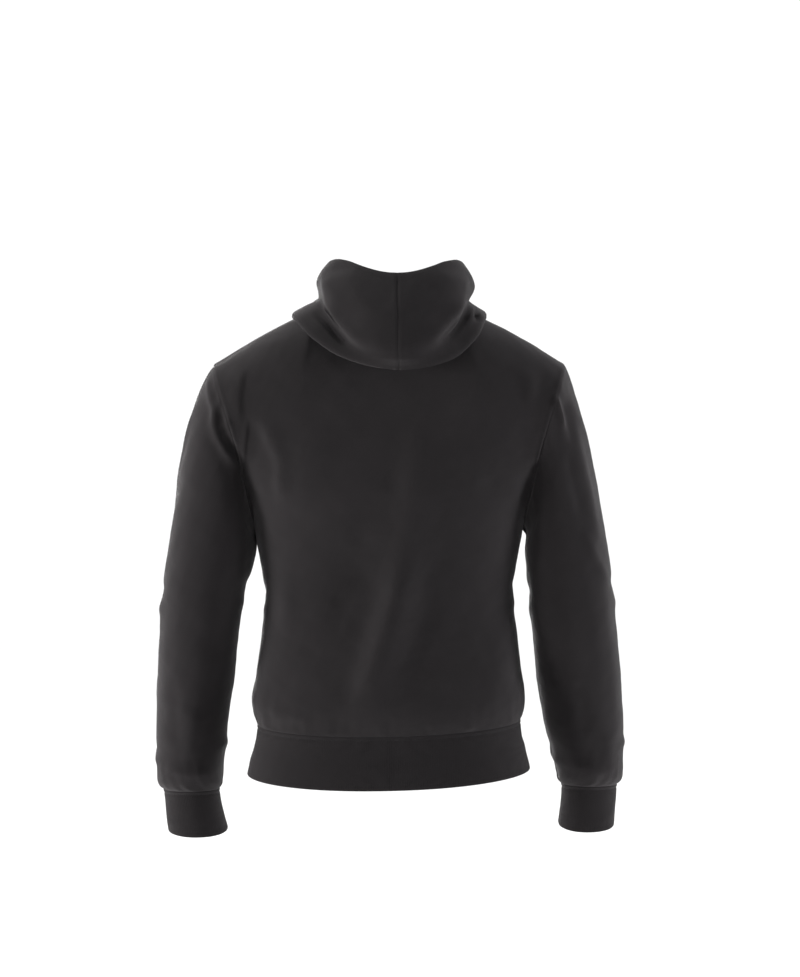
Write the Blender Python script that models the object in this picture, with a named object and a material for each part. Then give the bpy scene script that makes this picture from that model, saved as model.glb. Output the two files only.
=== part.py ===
"""A zip-up fleece hoodie, worn and hanging from the shoulders, hood down and zip closed.

Metres, +Z up. The wearer faces -Y, so their left is +X. The origin is the middle of the neck opening,
at the height of the shoulder points where the shoulder seams meet the neck.
Every cloth panel is a grid of points on the garment's outer face, given a wall of its own thickness.
Panels share their seam points, and each stands back from the seam by half of SEAM_GAP.
"""

import math

import bmesh
import bpy
import numpy as np
from mathutils import Matrix, Vector

# Cloth and seams
FLEECE = 0.0020
RIB = 0.0024
TAPE = 0.0010
SEAM_GAP = 0.0003
FLAT_ENOUGH = 0.5  # cosine between two panels' normals down to which they share a mitred edge at their seam

# Grid density of the panels
HALF_COLUMNS = 14  # from the middle of the back or front to the side seam
NECK_COLUMNS = 6  # of those, the columns that end on the neck seam
LOWER_ROWS = 8  # from the waistband up to the armpit
ARMHOLE_ROWS = 9  # from the armpit up to the shoulder seam
SLEEVE_STEPS = (1, 1, 1, 1, 1, 2, 1, 2, 1, 1, 1, 1, 1)  # rows from one ring of the table to the next
ELBOW_ROW = sum(SLEEVE_STEPS[:6])  # the sleeve's solid is parted here, so that its collision pieces stay open
CUFF_STEPS = (1, 1, 1)
WAISTBAND_ROWS = 3

# Body heights, half widths and depths
HEM_Z = -0.659
WAISTBAND_Z = -0.590
ARMPIT_Z = -0.318
HEM_TILT = 0.035  # the hem hangs a little lower on the wearer's left
SIDE_Y = 0.000
FACING = {"back": 1.0, "front": -1.0}  # which way along Y each face looks
ZIP_HALF = 0.0062  # each front edge stands this far from the zip's middle



def table(columns, *rows):
    """A table written a row for each section, as one tuple for each named column."""
    return dict(zip(columns.split(), zip(*rows)))


# A row for each level: height, half width, depth behind and in front of the side seams
BODY = table(
    "z half_width back front",
    (-0.659, 0.1972, 0.1160, 0.1200),
    (-0.640, 0.1925, 0.1130, 0.1190),
    (-0.618, 0.1868, 0.1085, 0.1170),
    (-0.600, 0.1832, 0.1050, 0.1150),
    (-0.590, 0.1836, 0.1050, 0.1150),
    (-0.578, 0.1885, 0.1105, 0.1200),
    (-0.560, 0.1896, 0.1130, 0.1225),
    (-0.520, 0.1848, 0.1085, 0.1200),
    (-0.465, 0.1792, 0.1030, 0.1170),
    (-0.409, 0.1736, 0.1030, 0.1180),
    (-0.355, 0.1806, 0.1120, 0.1230),
    (-0.318, 0.1865, 0.1180, 0.1260),
)
BODY_SQUARENESS = 2.35  # exponent of the body's rings: 2 is an ellipse

# Neck opening and shoulder line
NECK_HALF_WIDTH = 0.085
NECK_DEPTH = {"back": 0.062, "front": 0.078}
NECK_DROP = {"back": 0.018, "front": 0.085}
NECK_CURVE = {"back": 1.5, "front": 1.35}  # exponents of the neck seam's dip
SHOULDER_TIP = (0.2455, 0.000, -0.087)
SHOULDER_CROWN = 0.004  # the shoulder seam bows up this much between neck and tip

# How the upper body rounds over from the chest to the shoulder seam
BLADE = {"back": 0.082, "front": 0.080}  # depth from the side seams to the armhole's middle
BLADE_REACH = 2.4  # exponents: how closely the depth keeps to the side, and how round it is up the armhole
BLADE_ROUND = 0.8
UPRIGHT = 0.62  # how far up the cloth stays upright, as a share of the height
OVERHANG = 0.60  # how far in from the top it has turned level, as a share of the depth
SHOULDER_RISE = 0.25  # slope at which the cloth reaches the shoulder seam
NECK_RISE = {"back": 0.7, "front": 1.5}
ARMHOLE_LEAN = 1.15  # exponent of the armhole seam's path from armpit to shoulder tip
ARMHOLE_SCOOP = {"back": 0.004, "front": 0.014}
ARMHOLE_REACH = 4  # exponents: how closely the seam's own path keeps to it, and how round its scoop is
SCOOP_ROUND = 1.5
ARMHOLE_LIFT = 0.13  # the armhole seam leaves the armpit this much more steeply than a round arc

# A row for each ring: the sleeve's outer and inner line as seen from behind, its middle and its half depth.
# The left and the right sleeve hang a little differently.
SLEEVE = table(
    "outer_z outer_left outer_right inner_z inner_left inner_right middle_y half_depth",
    (-0.1150, 0.2620, 0.2555, -0.3250, 0.1915, 0.1915, 0.0000, 0.0800),
    (-0.1550, 0.2760, 0.2685, -0.3310, 0.1905, 0.1915, 0.0000, 0.0810),
    (-0.2050, 0.2862, 0.2792, -0.3390, 0.1890, 0.1905, 0.0010, 0.0800),
    (-0.2620, 0.2945, 0.2895, -0.3530, 0.1895, 0.1900, 0.0020, 0.0785),
    (-0.3250, 0.3052, 0.3015, -0.3780, 0.1945, 0.1915, 0.0040, 0.0765),
    (-0.3950, 0.3136, 0.3115, -0.4170, 0.2035, 0.1960, 0.0050, 0.0735),
    (-0.4550, 0.3195, 0.3190, -0.4630, 0.2105, 0.2005, 0.0020, 0.0700),
    (-0.5200, 0.3240, 0.3255, -0.5220, 0.2180, 0.2070, -0.0060, 0.0650),
    (-0.5750, 0.3262, 0.3285, -0.5770, 0.2250, 0.2160, -0.0150, 0.0610),
    (-0.6250, 0.3272, 0.3298, -0.6270, 0.2305, 0.2275, -0.0240, 0.0575),
    (-0.6630, 0.3272, 0.3295, -0.6630, 0.2340, 0.2350, -0.0300, 0.0550),
    (-0.6750, 0.3252, 0.3275, -0.6750, 0.2360, 0.2375, -0.0320, 0.0520),
    (-0.6820, 0.3190, 0.3220, -0.6820, 0.2400, 0.2435, -0.0330, 0.0440),
)
SLEEVE_SQUARENESS = 2.15
CUFF_DROP_LEFT = 0.007  # the left sleeve hangs this much lower than the table, from the elbow down
ELBOW_Z = -0.395
DROP_REACH = 0.250  # over which that drop grows
RING_POINTS = 2 * ARMHOLE_ROWS

# A row for each ring of the cuff, measured down from its seam. tilt is the slope at which a ring falls
# towards the back
CUFF = table(
    "below outer_left outer_right inner_left inner_right half_depth middle_y tilt",
    (0.0000, 0.3190, 0.3220, 0.2400, 0.2435, 0.0440, -0.0330, 0.00),
    (0.0060, 0.3180, 0.3215, 0.2395, 0.2438, 0.0410, -0.0330, 0.02),
    (0.0300, 0.3162, 0.3205, 0.2355, 0.2425, 0.0400, -0.0370, 0.09),
    (0.0610, 0.3135, 0.3187, 0.2285, 0.2390, 0.0410, -0.0420, 0.18),
)

# A row for each direction round the neck: 0 is the front, 90 the side and 180 the back. A column for each
# guide line of the hood, in order from the neck seam: the stand, the layer under the fold, the outer roll,
# the valley, the ridge of the upper flap, the flap's face, its crest and the opening edge. The first table
# is their distance out from the neck's axis, and the second their height.
HOOD_OUT = table(
    "direction stand under roll valley ridge face crest edge",
    (0.0, 0.0755, 0.0800, 0.0850, 0.0870, 0.0870, 0.0850, 0.0810, 0.0780),
    (20.0, 0.0775, 0.0870, 0.0970, 0.0960, 0.0950, 0.0900, 0.0830, 0.0790),
    (45.0, 0.0820, 0.0980, 0.1130, 0.1070, 0.1060, 0.0990, 0.0860, 0.0780),
    (68.0, 0.0860, 0.1090, 0.1260, 0.1090, 0.1090, 0.1050, 0.0890, 0.0770),
    (90.0, 0.0880, 0.1150, 0.1340, 0.1055, 0.1070, 0.1075, 0.0900, 0.0770),
    (105.0, 0.0860, 0.1145, 0.1385, 0.1100, 0.1110, 0.1095, 0.0900, 0.0775),
    (118.0, 0.0825, 0.1140, 0.1420, 0.1145, 0.1150, 0.1105, 0.0895, 0.0780),
    (132.0, 0.0785, 0.1110, 0.1420, 0.1180, 0.1210, 0.1130, 0.0880, 0.0800),
    (156.0, 0.0730, 0.1030, 0.1340, 0.1340, 0.1400, 0.1210, 0.0910, 0.0860),
    (180.0, 0.0700, 0.1040, 0.1340, 0.1480, 0.1480, 0.1240, 0.0930, 0.0890),
)
HOOD_Z = table(
    "direction stand under roll valley ridge face crest edge",
    (0.0, -0.0780, -0.0730, -0.0680, -0.0600, -0.0500, -0.0370, -0.0240, -0.0170),
    (20.0, -0.0660, -0.0700, -0.0690, -0.0560, -0.0430, -0.0260, -0.0110, -0.0050),
    (45.0, -0.0390, -0.0560, -0.0640, -0.0400, -0.0240, -0.0050, 0.0150, 0.0150),
    (68.0, -0.0100, -0.0180, -0.0240, -0.0050, 0.0050, 0.0220, 0.0420, 0.0370),
    (90.0, 0.0060, -0.0085, -0.0185, 0.0070, 0.0160, 0.0340, 0.0560, 0.0500),
    (105.0, 0.0060, -0.0110, -0.0240, 0.0010, 0.0120, 0.0340, 0.0585, 0.0525),
    (118.0, 0.0050, -0.0180, -0.0360, -0.0090, 0.0040, 0.0300, 0.0575, 0.0525),
    (132.0, 0.0040, -0.0295, -0.0620, -0.0250, -0.0120, 0.0190, 0.0515, 0.0490),
    (156.0, 0.0020, -0.0440, -0.0930, -0.0720, -0.0560, -0.0020, 0.0375, 0.0390),
    (180.0, -0.0010, -0.0500, -0.1010, -0.0840, -0.0640, -0.0120, 0.0290, 0.0320),
)
HOOD_STEPS = (1, 2, 2, 1, 1, 2, 1, 2, 2, 1)  # rows from one guide line to the next, with the roll as three
ROLL_RADIUS = 0.0036
HOOD_AXIS_Y = -0.005
HOOD_SHIFT = -0.009  # the upper flap sits this far towards the wearer's right
HOOD_SWING_END = 70.0  # the two front edges lean apart, which fades out at this direction

# A row for each guide line: the share of HOOD_SHIFT that it takes, and its swing at the front in degrees
HOOD_LINES = table(
    "name shift swing",
    ("stand", 0.0, 0.0),
    ("under", 0.0, 2.0),
    ("roll", 0.0, 4.0),
    ("valley", 0.6, 6.0),
    ("ridge", 1.0, 8.0),
    ("face", 1.0, 12.0),
    ("crest", 1.0, 16.0),
    ("edge", 1.0, 18.0),
)

# Zip
TAPE_INNER = 0.0034
TAPE_OUTER = 0.0150
TAPE_DEPTH = RIB + 2 * SEAM_GAP  # the tape lies this far below the garment's outer face
CHAIN_HALF = 0.0030
CHAIN_THICK = 0.0026
CHAIN_DEPTH = 0.0016
CHAIN_MIDDLE = CHAIN_DEPTH + CHAIN_THICK / 2
CHAIN_END = -0.1000
BOX_SIZE = (0.0062, 0.0040, 0.0090)  # the retainer at the foot of the zip
BOX_Z = HEM_Z + 0.0060
CHAIN_START = BOX_Z + BOX_SIZE[2] / 2 + SEAM_GAP
ZIP_TOP_Z = -0.0880
STOP_SIZE = (0.0022, 0.0024, 0.0040)
STOP_X = 0.0046
STOP_DEPTH = TAPE_DEPTH - STOP_SIZE[1] / 2 - SEAM_GAP
STOP_Z = ZIP_TOP_Z - 0.0030
BLOCK_BEVEL = 0.0003
SLIDER_Z = -0.1010
SLIDER_LENGTH = 0.0115
SLIDER_HALF = 0.0047
SLIDER_PLATE = 0.0010
SLIDER_ROOM = 0.0005  # between a plate and the chain
SLIDER_FACE = -(CHAIN_THICK / 2 + SLIDER_ROOM + SLIDER_PLATE)  # of the front plate, from the chain's middle
POST_HALF = 0.0012
POST_LENGTH = 0.0030
BAIL_LENGTH = 0.0080
BAIL_RISE = 0.0031
BAIL_BAR = 0.0010
BAIL_HALF = 0.0008
OVERLAP = 0.0002  # how far joined boxes reach past each other
PULL_LENGTH = 0.0260
PULL_HALF = 0.0042
PULL_THICK = 0.0011
PULL_EYE_HALF = 0.0019
PULL_EYE_LENGTH = 0.0070
PULL_AXIS_Y = SLIDER_FACE - (BAIL_RISE - BAIL_BAR) / 2
PULL_AXIS_Z = 0.0014

COLOURS = {
    "fleece": ((0.0185, 0.0170, 0.0175), 0.95, 0.0),
    "rib": ((0.0175, 0.0160, 0.0165), 0.95, 0.0),
    "zip_tape": ((0.0140, 0.0130, 0.0135), 0.9, 0.0),
    "zip_metal": ((0.0500, 0.0490, 0.0500), 0.38, 1.0),
}


def smooth(value):
    value = np.clip(value, 0.0, 1.0)
    return value * value * (3.0 - 2.0 * value)


def curve_through(knots, values, at):
    """A smooth curve through values at rising knots, with no overshoot: a cubic with limited slopes."""
    knots = np.asarray(knots, float)
    values = np.asarray(values, float)
    at = np.clip(np.asarray(at, float), knots[0], knots[-1])
    steps = np.diff(knots)
    rises = np.diff(values) / steps
    slopes = np.empty_like(values)
    slopes[0], slopes[-1] = rises[0], rises[-1]
    same_way = rises[:-1] * rises[1:] > 0
    before, after = 2 * steps[1:] + steps[:-1], steps[1:] + 2 * steps[:-1]
    with np.errstate(divide="ignore", invalid="ignore"):
        inner = (before + after) / (before / rises[:-1] + after / rises[1:])
    slopes[1:-1] = np.where(same_way, inner, 0.0)
    k = np.clip(np.searchsorted(knots, at, side="right") - 1, 0, len(steps) - 1)
    t = (at - knots[k]) / steps[k]
    return (
        values[k] * (1 + 2 * t) * (1 - t) ** 2
        + slopes[k] * steps[k] * t * (1 - t) ** 2
        + values[k + 1] * t * t * (3 - 2 * t)
        - slopes[k + 1] * steps[k] * t * t * (1 - t)
    )


def spline(points, steps):
    """Points along a smooth curve: steps[n] of them, evenly spaced, from each given point to the next."""
    points = np.asarray(points, float)
    gaps = np.linalg.norm(np.diff(points, axis=0), axis=1) ** 0.5
    slopes = np.gradient(points, np.concatenate([[0.0], np.cumsum(gaps)]), axis=0, edge_order=2)
    line = [points[:1]]
    for k, count in enumerate(steps):
        t = (np.arange(count) + 1.0)[:, None] / count
        line.append(
            points[k] * (1 + 2 * t) * (1 - t) ** 2
            + slopes[k] * gaps[k] * t * (1 - t) ** 2
            + points[k + 1] * t * t * (3 - 2 * t)
            - slopes[k + 1] * gaps[k] * t * t * (1 - t)
        )
    return np.concatenate(line)


def round_corner(turn, squareness):
    """Sine and cosine of a quarter turn (0 to 1), drawn out to a superellipse."""
    angle = np.asarray(turn, float) * math.pi / 2
    sine, cosine = np.abs(np.sin(angle)), np.abs(np.cos(angle))
    reach = (sine**squareness + cosine**squareness) ** (-1.0 / squareness)
    return sine * reach, cosine * reach


def body_ring(z, turn, face):
    """Points of the body's tube at height z. turn runs from 0 in the middle to 1 at the side seam."""
    across, deep = round_corner(turn, BODY_SQUARENESS)
    half_width = curve_through(BODY["z"], BODY["half_width"], z)
    depth = FACING[face] * curve_through(BODY["z"], BODY[face], z)
    return np.stack([half_width * across, SIDE_Y + depth * deep, z + 0 * across], axis=-1)


def first_turn(z, face):
    """Where a panel's ring starts: the back in its middle, a front where it is clear of the zip."""
    if face == "back":
        return 0.0
    half_width = float(curve_through(BODY["z"], BODY["half_width"], z))
    return 2 / math.pi * math.atan(ZIP_HALF / half_width)


def column_turns(z, face):
    first = first_turn(z, face)
    return first + (1.0 - first) * np.linspace(0.0, 1.0, HALF_COLUMNS + 1)


def neck_point(direction):
    """The neck seam at a direction round the neck, in degrees from the front, on the wearer's left."""
    angle = math.radians(direction)
    face = "front" if direction < 90 else "back"
    reach = abs(math.cos(angle))
    y = FACING[face] * NECK_DEPTH[face] * reach
    z = -NECK_DROP[face] * reach ** NECK_CURVE[face]
    return np.array([NECK_HALF_WIDTH * math.sin(angle), y, z])


def shoulder_point(share):
    """The shoulder seam, from the neck (0) to the tip (1)."""
    neck, tip = neck_point(90.0), np.array(SHOULDER_TIP)
    point = neck + (tip - neck) * share
    point[2] += SHOULDER_CROWN * math.sin(math.pi * share)
    return point


def top_edge(face):
    """The points where the upper body's columns end: the neck seam, then the shoulder seam."""
    middle = 180.0 if face == "back" else math.degrees(math.asin(ZIP_HALF / NECK_HALF_WIDTH))
    neck = [neck_point(d) for d in np.linspace(middle, 90.0, NECK_COLUMNS + 1)]
    shares = np.linspace(0.0, 1.0, HALF_COLUMNS - NECK_COLUMNS + 1)[1:]
    return np.array(neck + [shoulder_point(s) for s in shares])


def top_directions(face, edge):
    """Which way each column arrives at the top edge: in to the neck and up, or over to the shoulder seam."""
    arrivals = []
    for n, point in enumerate(edge):
        if n <= NECK_COLUMNS:
            inward = np.array([-point[0] / NECK_HALF_WIDTH, -point[1] / NECK_DEPTH[face], 0.0])
            inward[2] = NECK_RISE[face] * abs(inward[1]) + SHOULDER_RISE
        else:
            inward = np.array([0.0, -FACING[face], SHOULDER_RISE])
        arrivals.append(inward / np.linalg.norm(inward))
    arrivals = np.array(arrivals)
    for _ in range(2):
        arrivals[1:-1] = (arrivals[:-2] + 2 * arrivals[1:-1] + arrivals[2:]) / 4
    return arrivals / np.linalg.norm(arrivals, axis=1)[:, None]


def upper_body(face):
    """Rows from the armpit to the top edge. The last column is the armhole seam."""
    low = body_ring(ARMPIT_Z, column_turns(ARMPIT_Z, face), face)
    high = top_edge(face)
    arrive = top_directions(face, high)
    columns = np.linspace(0.0, 1.0, HALF_COLUMNS + 1)
    blade, scoop = FACING[face] * BLADE[face], ARMHOLE_SCOOP[face]
    height = (high[:, 2] - low[:, 2])[:, None]
    level = np.linalg.norm((high - low)[:, :2], axis=1)[:, None]
    first = low + UPRIGHT * height * np.array([0.0, 0.0, 1.0])
    second = high - OVERHANG * level * arrive

    def bent(t):
        return low * (1 - t) ** 3 + 3 * first * t * (1 - t) ** 2 + 3 * second * t * t * (1 - t) + high * t**3

    middle = bent(0.5)[:, 1]
    target = middle[0] + (blade - middle[0]) * columns**BLADE_REACH
    share = columns**ARMHOLE_REACH
    rows = []
    for t in np.linspace(0.0, 1.0, ARMHOLE_ROWS + 1):
        row = bent(t)
        row[:, 1] += (target - middle) * math.sin(math.pi * t) ** BLADE_ROUND
        climb = (1 - math.cos(math.pi * t)) / 2 + ARMHOLE_LIFT * math.sin(math.pi * t) * (1 - t) ** 2
        lean = climb**ARMHOLE_LEAN
        x = low[:, 0] + (high[:, 0] - low[:, 0]) * lean - scoop * math.sin(math.pi * climb) ** SCOOP_ROUND
        row[:, 0] += (x - row[:, 0]) * share
        row[:, 2] += (low[:, 2] + (high[:, 2] - low[:, 2]) * climb - row[:, 2]) * share
        rows.append(row)
    return np.array(rows)


def lower_body(face):
    """Rows from the waistband seam to just below the armpit."""
    heights = np.linspace(WAISTBAND_Z, ARMPIT_Z, LOWER_ROWS + 1)[:-1]
    return np.array([body_ring(z, column_turns(z, face), face) for z in heights])


def tilted(points):
    """The hem's tilt, which fades out up to the armpit."""
    points = points.copy()
    share = smooth((ARMPIT_Z - points[..., 2]) / (ARMPIT_Z - HEM_Z))
    points[..., 2] -= HEM_TILT * points[..., 0] * share
    return points


def mirrored(points):
    return points * np.array([-1.0, 1.0, 1.0])


def half_panel(face):
    return np.concatenate([lower_body(face), upper_body(face)])


def whole_from_half(half):
    """A panel across both sides, from a half that starts in the middle."""
    return np.concatenate([mirrored(half)[:, :0:-1], half], axis=1)


def waistband_grid():
    """From the left front edge round the back to the right front edge."""
    rows = []
    for z in np.linspace(HEM_Z, WAISTBAND_Z, WAISTBAND_ROWS + 1):
        front = body_ring(z, column_turns(z, "front"), "front")
        back = body_ring(z, column_turns(z, "back"), "back")
        left = np.concatenate([front, back[::-1][1:]])
        rows.append(np.concatenate([left, mirrored(left)[::-1][1:]]))
    return tilted(np.array(rows))


def armhole_loop():
    """The armhole seam on the wearer's left: from the shoulder tip down the back and up the front."""
    back, front = upper_body("back")[:, -1], upper_body("front")[:, -1]
    return np.concatenate([back[::-1], front[1:-1]])


def ring_between(outer, inner, middle_y, half_depth, tilt=0.0):
    """A sleeve's closed ring, from its outer line over the back, the inner line and the front.

    outer and inner are its outermost and innermost points, each as x and z.
    """
    middle, reach = (outer + inner) / 2, (outer - inner) / 2
    points = []
    for step in range(RING_POINTS):
        quarter, turn = divmod(4.0 * step / RING_POINTS, 1.0)
        across, along = round_corner(turn, SLEEVE_SQUARENESS)
        if quarter % 2:
            across, along = along, across
        along *= 1 if quarter in (0, 3) else -1
        across *= 1 if quarter < 2 else -1
        x, z = middle + reach * along
        deep = half_depth * across
        points.append((x, middle_y + deep, z - tilt * deep))
    return np.array(points)


def side_points(table, side, row, z_outer, z_inner):
    """The outermost and innermost point of a ring in a table, each as x and z."""
    outer = np.array([table["outer_" + side][row], z_outer])
    inner = np.array([table["inner_" + side][row], z_inner])
    return outer, inner


def sleeve_grid(side):
    """Rows from the armhole seam down to the cuff seam, each a closed ring."""
    rings = [armhole_loop()]
    drop = CUFF_DROP_LEFT if side == "left" else 0.0
    for row, heights in enumerate(zip(SLEEVE["outer_z"], SLEEVE["inner_z"])):
        heights = [z - drop * smooth((ELBOW_Z - z) / DROP_REACH) for z in heights]
        outer, inner = side_points(SLEEVE, side, row, *heights)
        rings.append(ring_between(outer, inner, SLEEVE["middle_y"][row], SLEEVE["half_depth"][row]))
    rings = np.array(rings)
    lines = [spline(rings[:, n], SLEEVE_STEPS) for n in range(rings.shape[1])]
    return np.stack(lines, axis=1)


def cuff_grid(side, seam):
    """Rows from the cuff seam, whose points are the sleeve's last ring, down to the open end."""
    rings = [seam]
    for row in range(1, len(CUFF["below"])):
        z = seam[0][2] - CUFF["below"][row]
        outer, inner = side_points(CUFF, side, row, z, z)
        depths = (CUFF["middle_y"][row], CUFF["half_depth"][row])
        rings.append(ring_between(outer, inner, *depths, CUFF["tilt"][row]))
    rings = np.array(rings)
    lines = [spline(rings[:, n], CUFF_STEPS) for n in range(RING_POINTS)]
    return np.stack(lines, axis=1)


def hood_section(seam_point, side):
    """The hood's section over one point of the neck seam, from the seam to the opening edge."""
    direction = math.degrees(math.atan2(seam_point[0], -(seam_point[1] - HOOD_AXIS_Y)))
    points = [seam_point]
    lean = 1.0 - smooth(direction / HOOD_SWING_END)
    for line, shift, swing in zip(*HOOD_LINES.values()):
        angle = math.radians(direction + swing * lean)
        out = float(curve_through(HOOD_OUT["direction"], HOOD_OUT[line], direction))
        z = float(curve_through(HOOD_Z["direction"], HOOD_Z[line], direction))
        sideways = HOOD_SHIFT * shift * (1.0 - lean) * (1 if side == "left" else -1)
        points.append((out * math.sin(angle) + sideways, HOOD_AXIS_Y - out * math.cos(angle), z))
    return spline(with_round_roll(np.array(points)), HOOD_STEPS)


def with_round_roll(points):
    """The section's points with the roll's one point made into a round turn of ROLL_RADIUS."""
    under, tip, valley = points[2:5]
    back = (under + valley) / 2 - tip
    back /= np.linalg.norm(back)
    apart = valley - under
    apart -= back * (apart @ back)
    apart /= np.linalg.norm(apart)
    middle = tip + back * ROLL_RADIUS
    turn = [middle - apart * ROLL_RADIUS, tip, middle + apart * ROLL_RADIUS]
    return np.concatenate([points[:3], turn, points[4:]])


def hood_grid(side):
    """Columns from the front edge to the centre back seam, as if on the wearer's left."""
    front, back = top_edge("front")[: NECK_COLUMNS + 1], top_edge("back")[: NECK_COLUMNS + 1]
    seam = np.concatenate([front, back[::-1][1:]])
    return np.stack([hood_section(point, side) for point in seam], axis=1)


def zip_line(top, foot=HEM_Z):
    """Points up the zip on the garment's outer face, and the way out of the cloth at each."""
    band = [body_ring(z, 0.0, "front") for z in np.linspace(HEM_Z, WAISTBAND_Z, WAISTBAND_ROWS + 1)[:-1]]
    front = np.concatenate([lower_body("front"), upper_body("front")])[:, 0]
    points = np.concatenate([np.array(band), front]) * np.array([0.0, 1.0, 1.0])
    ends = [[0.0, np.interp(z, points[:, 2], points[:, 1]), z] for z in (foot, top)]
    between = (points[:, 2] > foot + TAPE) & (points[:, 2] < top - TAPE)
    points = np.concatenate([ends[:1], points[between], ends[1:]])
    along = np.gradient(points, axis=0)
    along /= np.linalg.norm(along, axis=1)[:, None]
    out = np.stack([0 * along[:, 0], -along[:, 2], along[:, 1]], axis=1)
    return points, out


def grid_normals(grid, closed):
    """Unit normals of a grid's faces averaged at its points, facing rows x columns."""
    if closed:
        wrapped = np.concatenate([grid[:, -1:], grid, grid[:, :1]], axis=1)
        across = (wrapped[:, 2:] - wrapped[:, :-2]) / 2
    else:
        across = np.gradient(grid, axis=1)
    up = np.gradient(grid, axis=0)
    normal = np.cross(across, up)
    return normal / np.maximum(np.linalg.norm(normal, axis=2, keepdims=True), 1e-12)


def key_of(point):
    return tuple(np.round(point * 1e5).astype(int))


class Panel:
    """One cut piece: its grid, the wall that it gets, and what its outer face looks away from."""

    def __init__(self, name, grid, thickness, colour, wraps):
        self.name, self.grid, self.thickness, self.colour = name, grid, thickness, colour
        self.closed = wraps == "its rings"
        middle = {
            "the body": grid.mean(axis=(0, 1)) * np.array([0.0, 0.0, 1.0]),
            "its rings": grid.mean(axis=1, keepdims=True),
            "its columns": grid.mean(axis=0, keepdims=True),
        }[wraps]
        normals = grid_normals(grid, self.closed)
        self.normals = normals * np.sign(np.sum(normals * (grid - middle)))

    def borders(self):
        """Index pairs of each border line with those of the line just inside it."""
        rows, columns = self.grid.shape[:2]
        lines = [
            ([(0, c) for c in range(columns)], [(1, c) for c in range(columns)]),
            ([(rows - 1, c) for c in range(columns)], [(rows - 2, c) for c in range(columns)]),
        ]
        if not self.closed:
            lines.append(([(r, 0) for r in range(rows)], [(r, 1) for r in range(rows)]))
            lines.append(([(r, columns - 1) for r in range(rows)], [(r, columns - 2) for r in range(rows)]))
        return lines


def mitre(normals):
    """The vector that leaves every wall its thickness where panels with these normals meet."""
    return np.linalg.pinv(np.array(normals), rcond=0.02) @ np.ones(len(normals))


def mitres_of(panels):
    """For each seam point, each panel's wall vector there, and the direction that parts the panels.

    Panels that run on into each other share a mitre. One that folds back from them keeps its own normal.
    """
    meeting = {}
    for panel in panels:
        for border, _ in panel.borders():
            for index in border:
                meeting.setdefault(key_of(panel.grid[index]), {})[panel.name] = panel.normals[index]
    walls, parting = {}, {}
    for key, normals in meeting.items():
        if len(normals) < 2:
            continue
        parting[key] = mitre(list(normals.values()))
        for name, normal in normals.items():
            alike = [other for other in normals.values() if normal @ other > FLAT_ENOUGH]
            walls[key, name] = mitre(alike)
    return walls, parting


def panel_faces(rows, columns, closed):
    """Quads of a closed wall: the outer layer's points come first, then the inner layer's."""
    layer = rows * columns

    def at(row, column, inner):
        return row * columns + column % columns + (layer if inner else 0)

    last = columns if closed else columns - 1
    faces = []
    for r in range(rows - 1):
        for c in range(last):
            faces.append((at(r, c, 0), at(r, c + 1, 0), at(r + 1, c + 1, 0), at(r + 1, c, 0)))
            faces.append((at(r, c, 1), at(r + 1, c, 1), at(r + 1, c + 1, 1), at(r, c + 1, 1)))
    for c in range(last):
        faces.append((at(0, c + 1, 0), at(0, c, 0), at(0, c, 1), at(0, c + 1, 1)))
        faces.append((at(rows - 1, c, 0), at(rows - 1, c + 1, 0), at(rows - 1, c + 1, 1), at(rows - 1, c, 1)))
    if not closed:
        for r in range(rows - 1):
            faces.append((at(r, 0, 0), at(r + 1, 0, 0), at(r + 1, 0, 1), at(r, 0, 1)))
            faces.append((at(r + 1, last, 0), at(r, last, 0), at(r, last, 1), at(r + 1, last, 1)))
    return faces


def wall_points(panel, walls, parting):
    """The panel's outer and inner points, with its seam borders set back by half the seam gap."""
    outer = panel.grid.copy()
    offsets = panel.normals.copy()
    for border, inside in panel.borders():
        middle = key_of(panel.grid[border[len(border) // 2]])
        if middle in parting:
            set_back_border(panel, parting, border, inside, outer)
        for index in border:
            own = (key_of(panel.grid[index]), panel.name)
            offsets[index] = walls.get(own, offsets[index])
    return outer, outer - panel.thickness * offsets


def set_back_border(panel, parting, border, inside, outer):
    line = np.array([panel.grid[index] for index in border])
    if panel.closed:
        along = np.roll(line, -1, axis=0) - np.roll(line, 1, axis=0)
    else:
        along = np.gradient(line, axis=0)
    for n, index in enumerate(border):
        inward = np.cross(along[n], parting.get(key_of(line[n]), panel.normals[index]))
        inward /= np.linalg.norm(inward)
        if inward @ (panel.grid[inside[n]] - line[n]) < 0:
            inward = -inward
        outer[index] += inward * SEAM_GAP / 2


def material(name):
    found = bpy.data.materials.get(name)
    if found:
        return found
    colour, roughness, metallic = COLOURS[name]
    made = bpy.data.materials.new(name)
    made.use_nodes = True
    shader = made.node_tree.nodes["Principled BSDF"]
    shader.inputs["Base Color"].default_value = (*colour, 1.0)
    shader.inputs["Roughness"].default_value = roughness
    shader.inputs["Metallic"].default_value = metallic
    return made


def add_object(name, mesh, colour, parent):
    obj = bpy.data.objects.new(name, mesh)
    mesh.materials.append(material(colour))
    mesh.shade_smooth()
    mesh.set_sharp_from_angle(angle=math.radians(50))
    obj.parent = parent
    bpy.context.scene.collection.objects.link(obj)
    return obj


def mesh_from(name, points, faces):
    """A mesh with its faces turned to point out."""
    bm = bmesh.new()
    for point in points:
        bm.verts.new(point)
    bm.verts.ensure_lookup_table()
    for face in faces:
        bm.faces.new([bm.verts[n] for n in face])
    bmesh.ops.recalc_face_normals(bm, faces=bm.faces)
    if bm.calc_volume(signed=True) < 0:
        bmesh.ops.reverse_faces(bm, faces=bm.faces)
    mesh = bpy.data.meshes.new(name)
    bm.to_mesh(mesh)
    bm.free()
    return mesh


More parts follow.
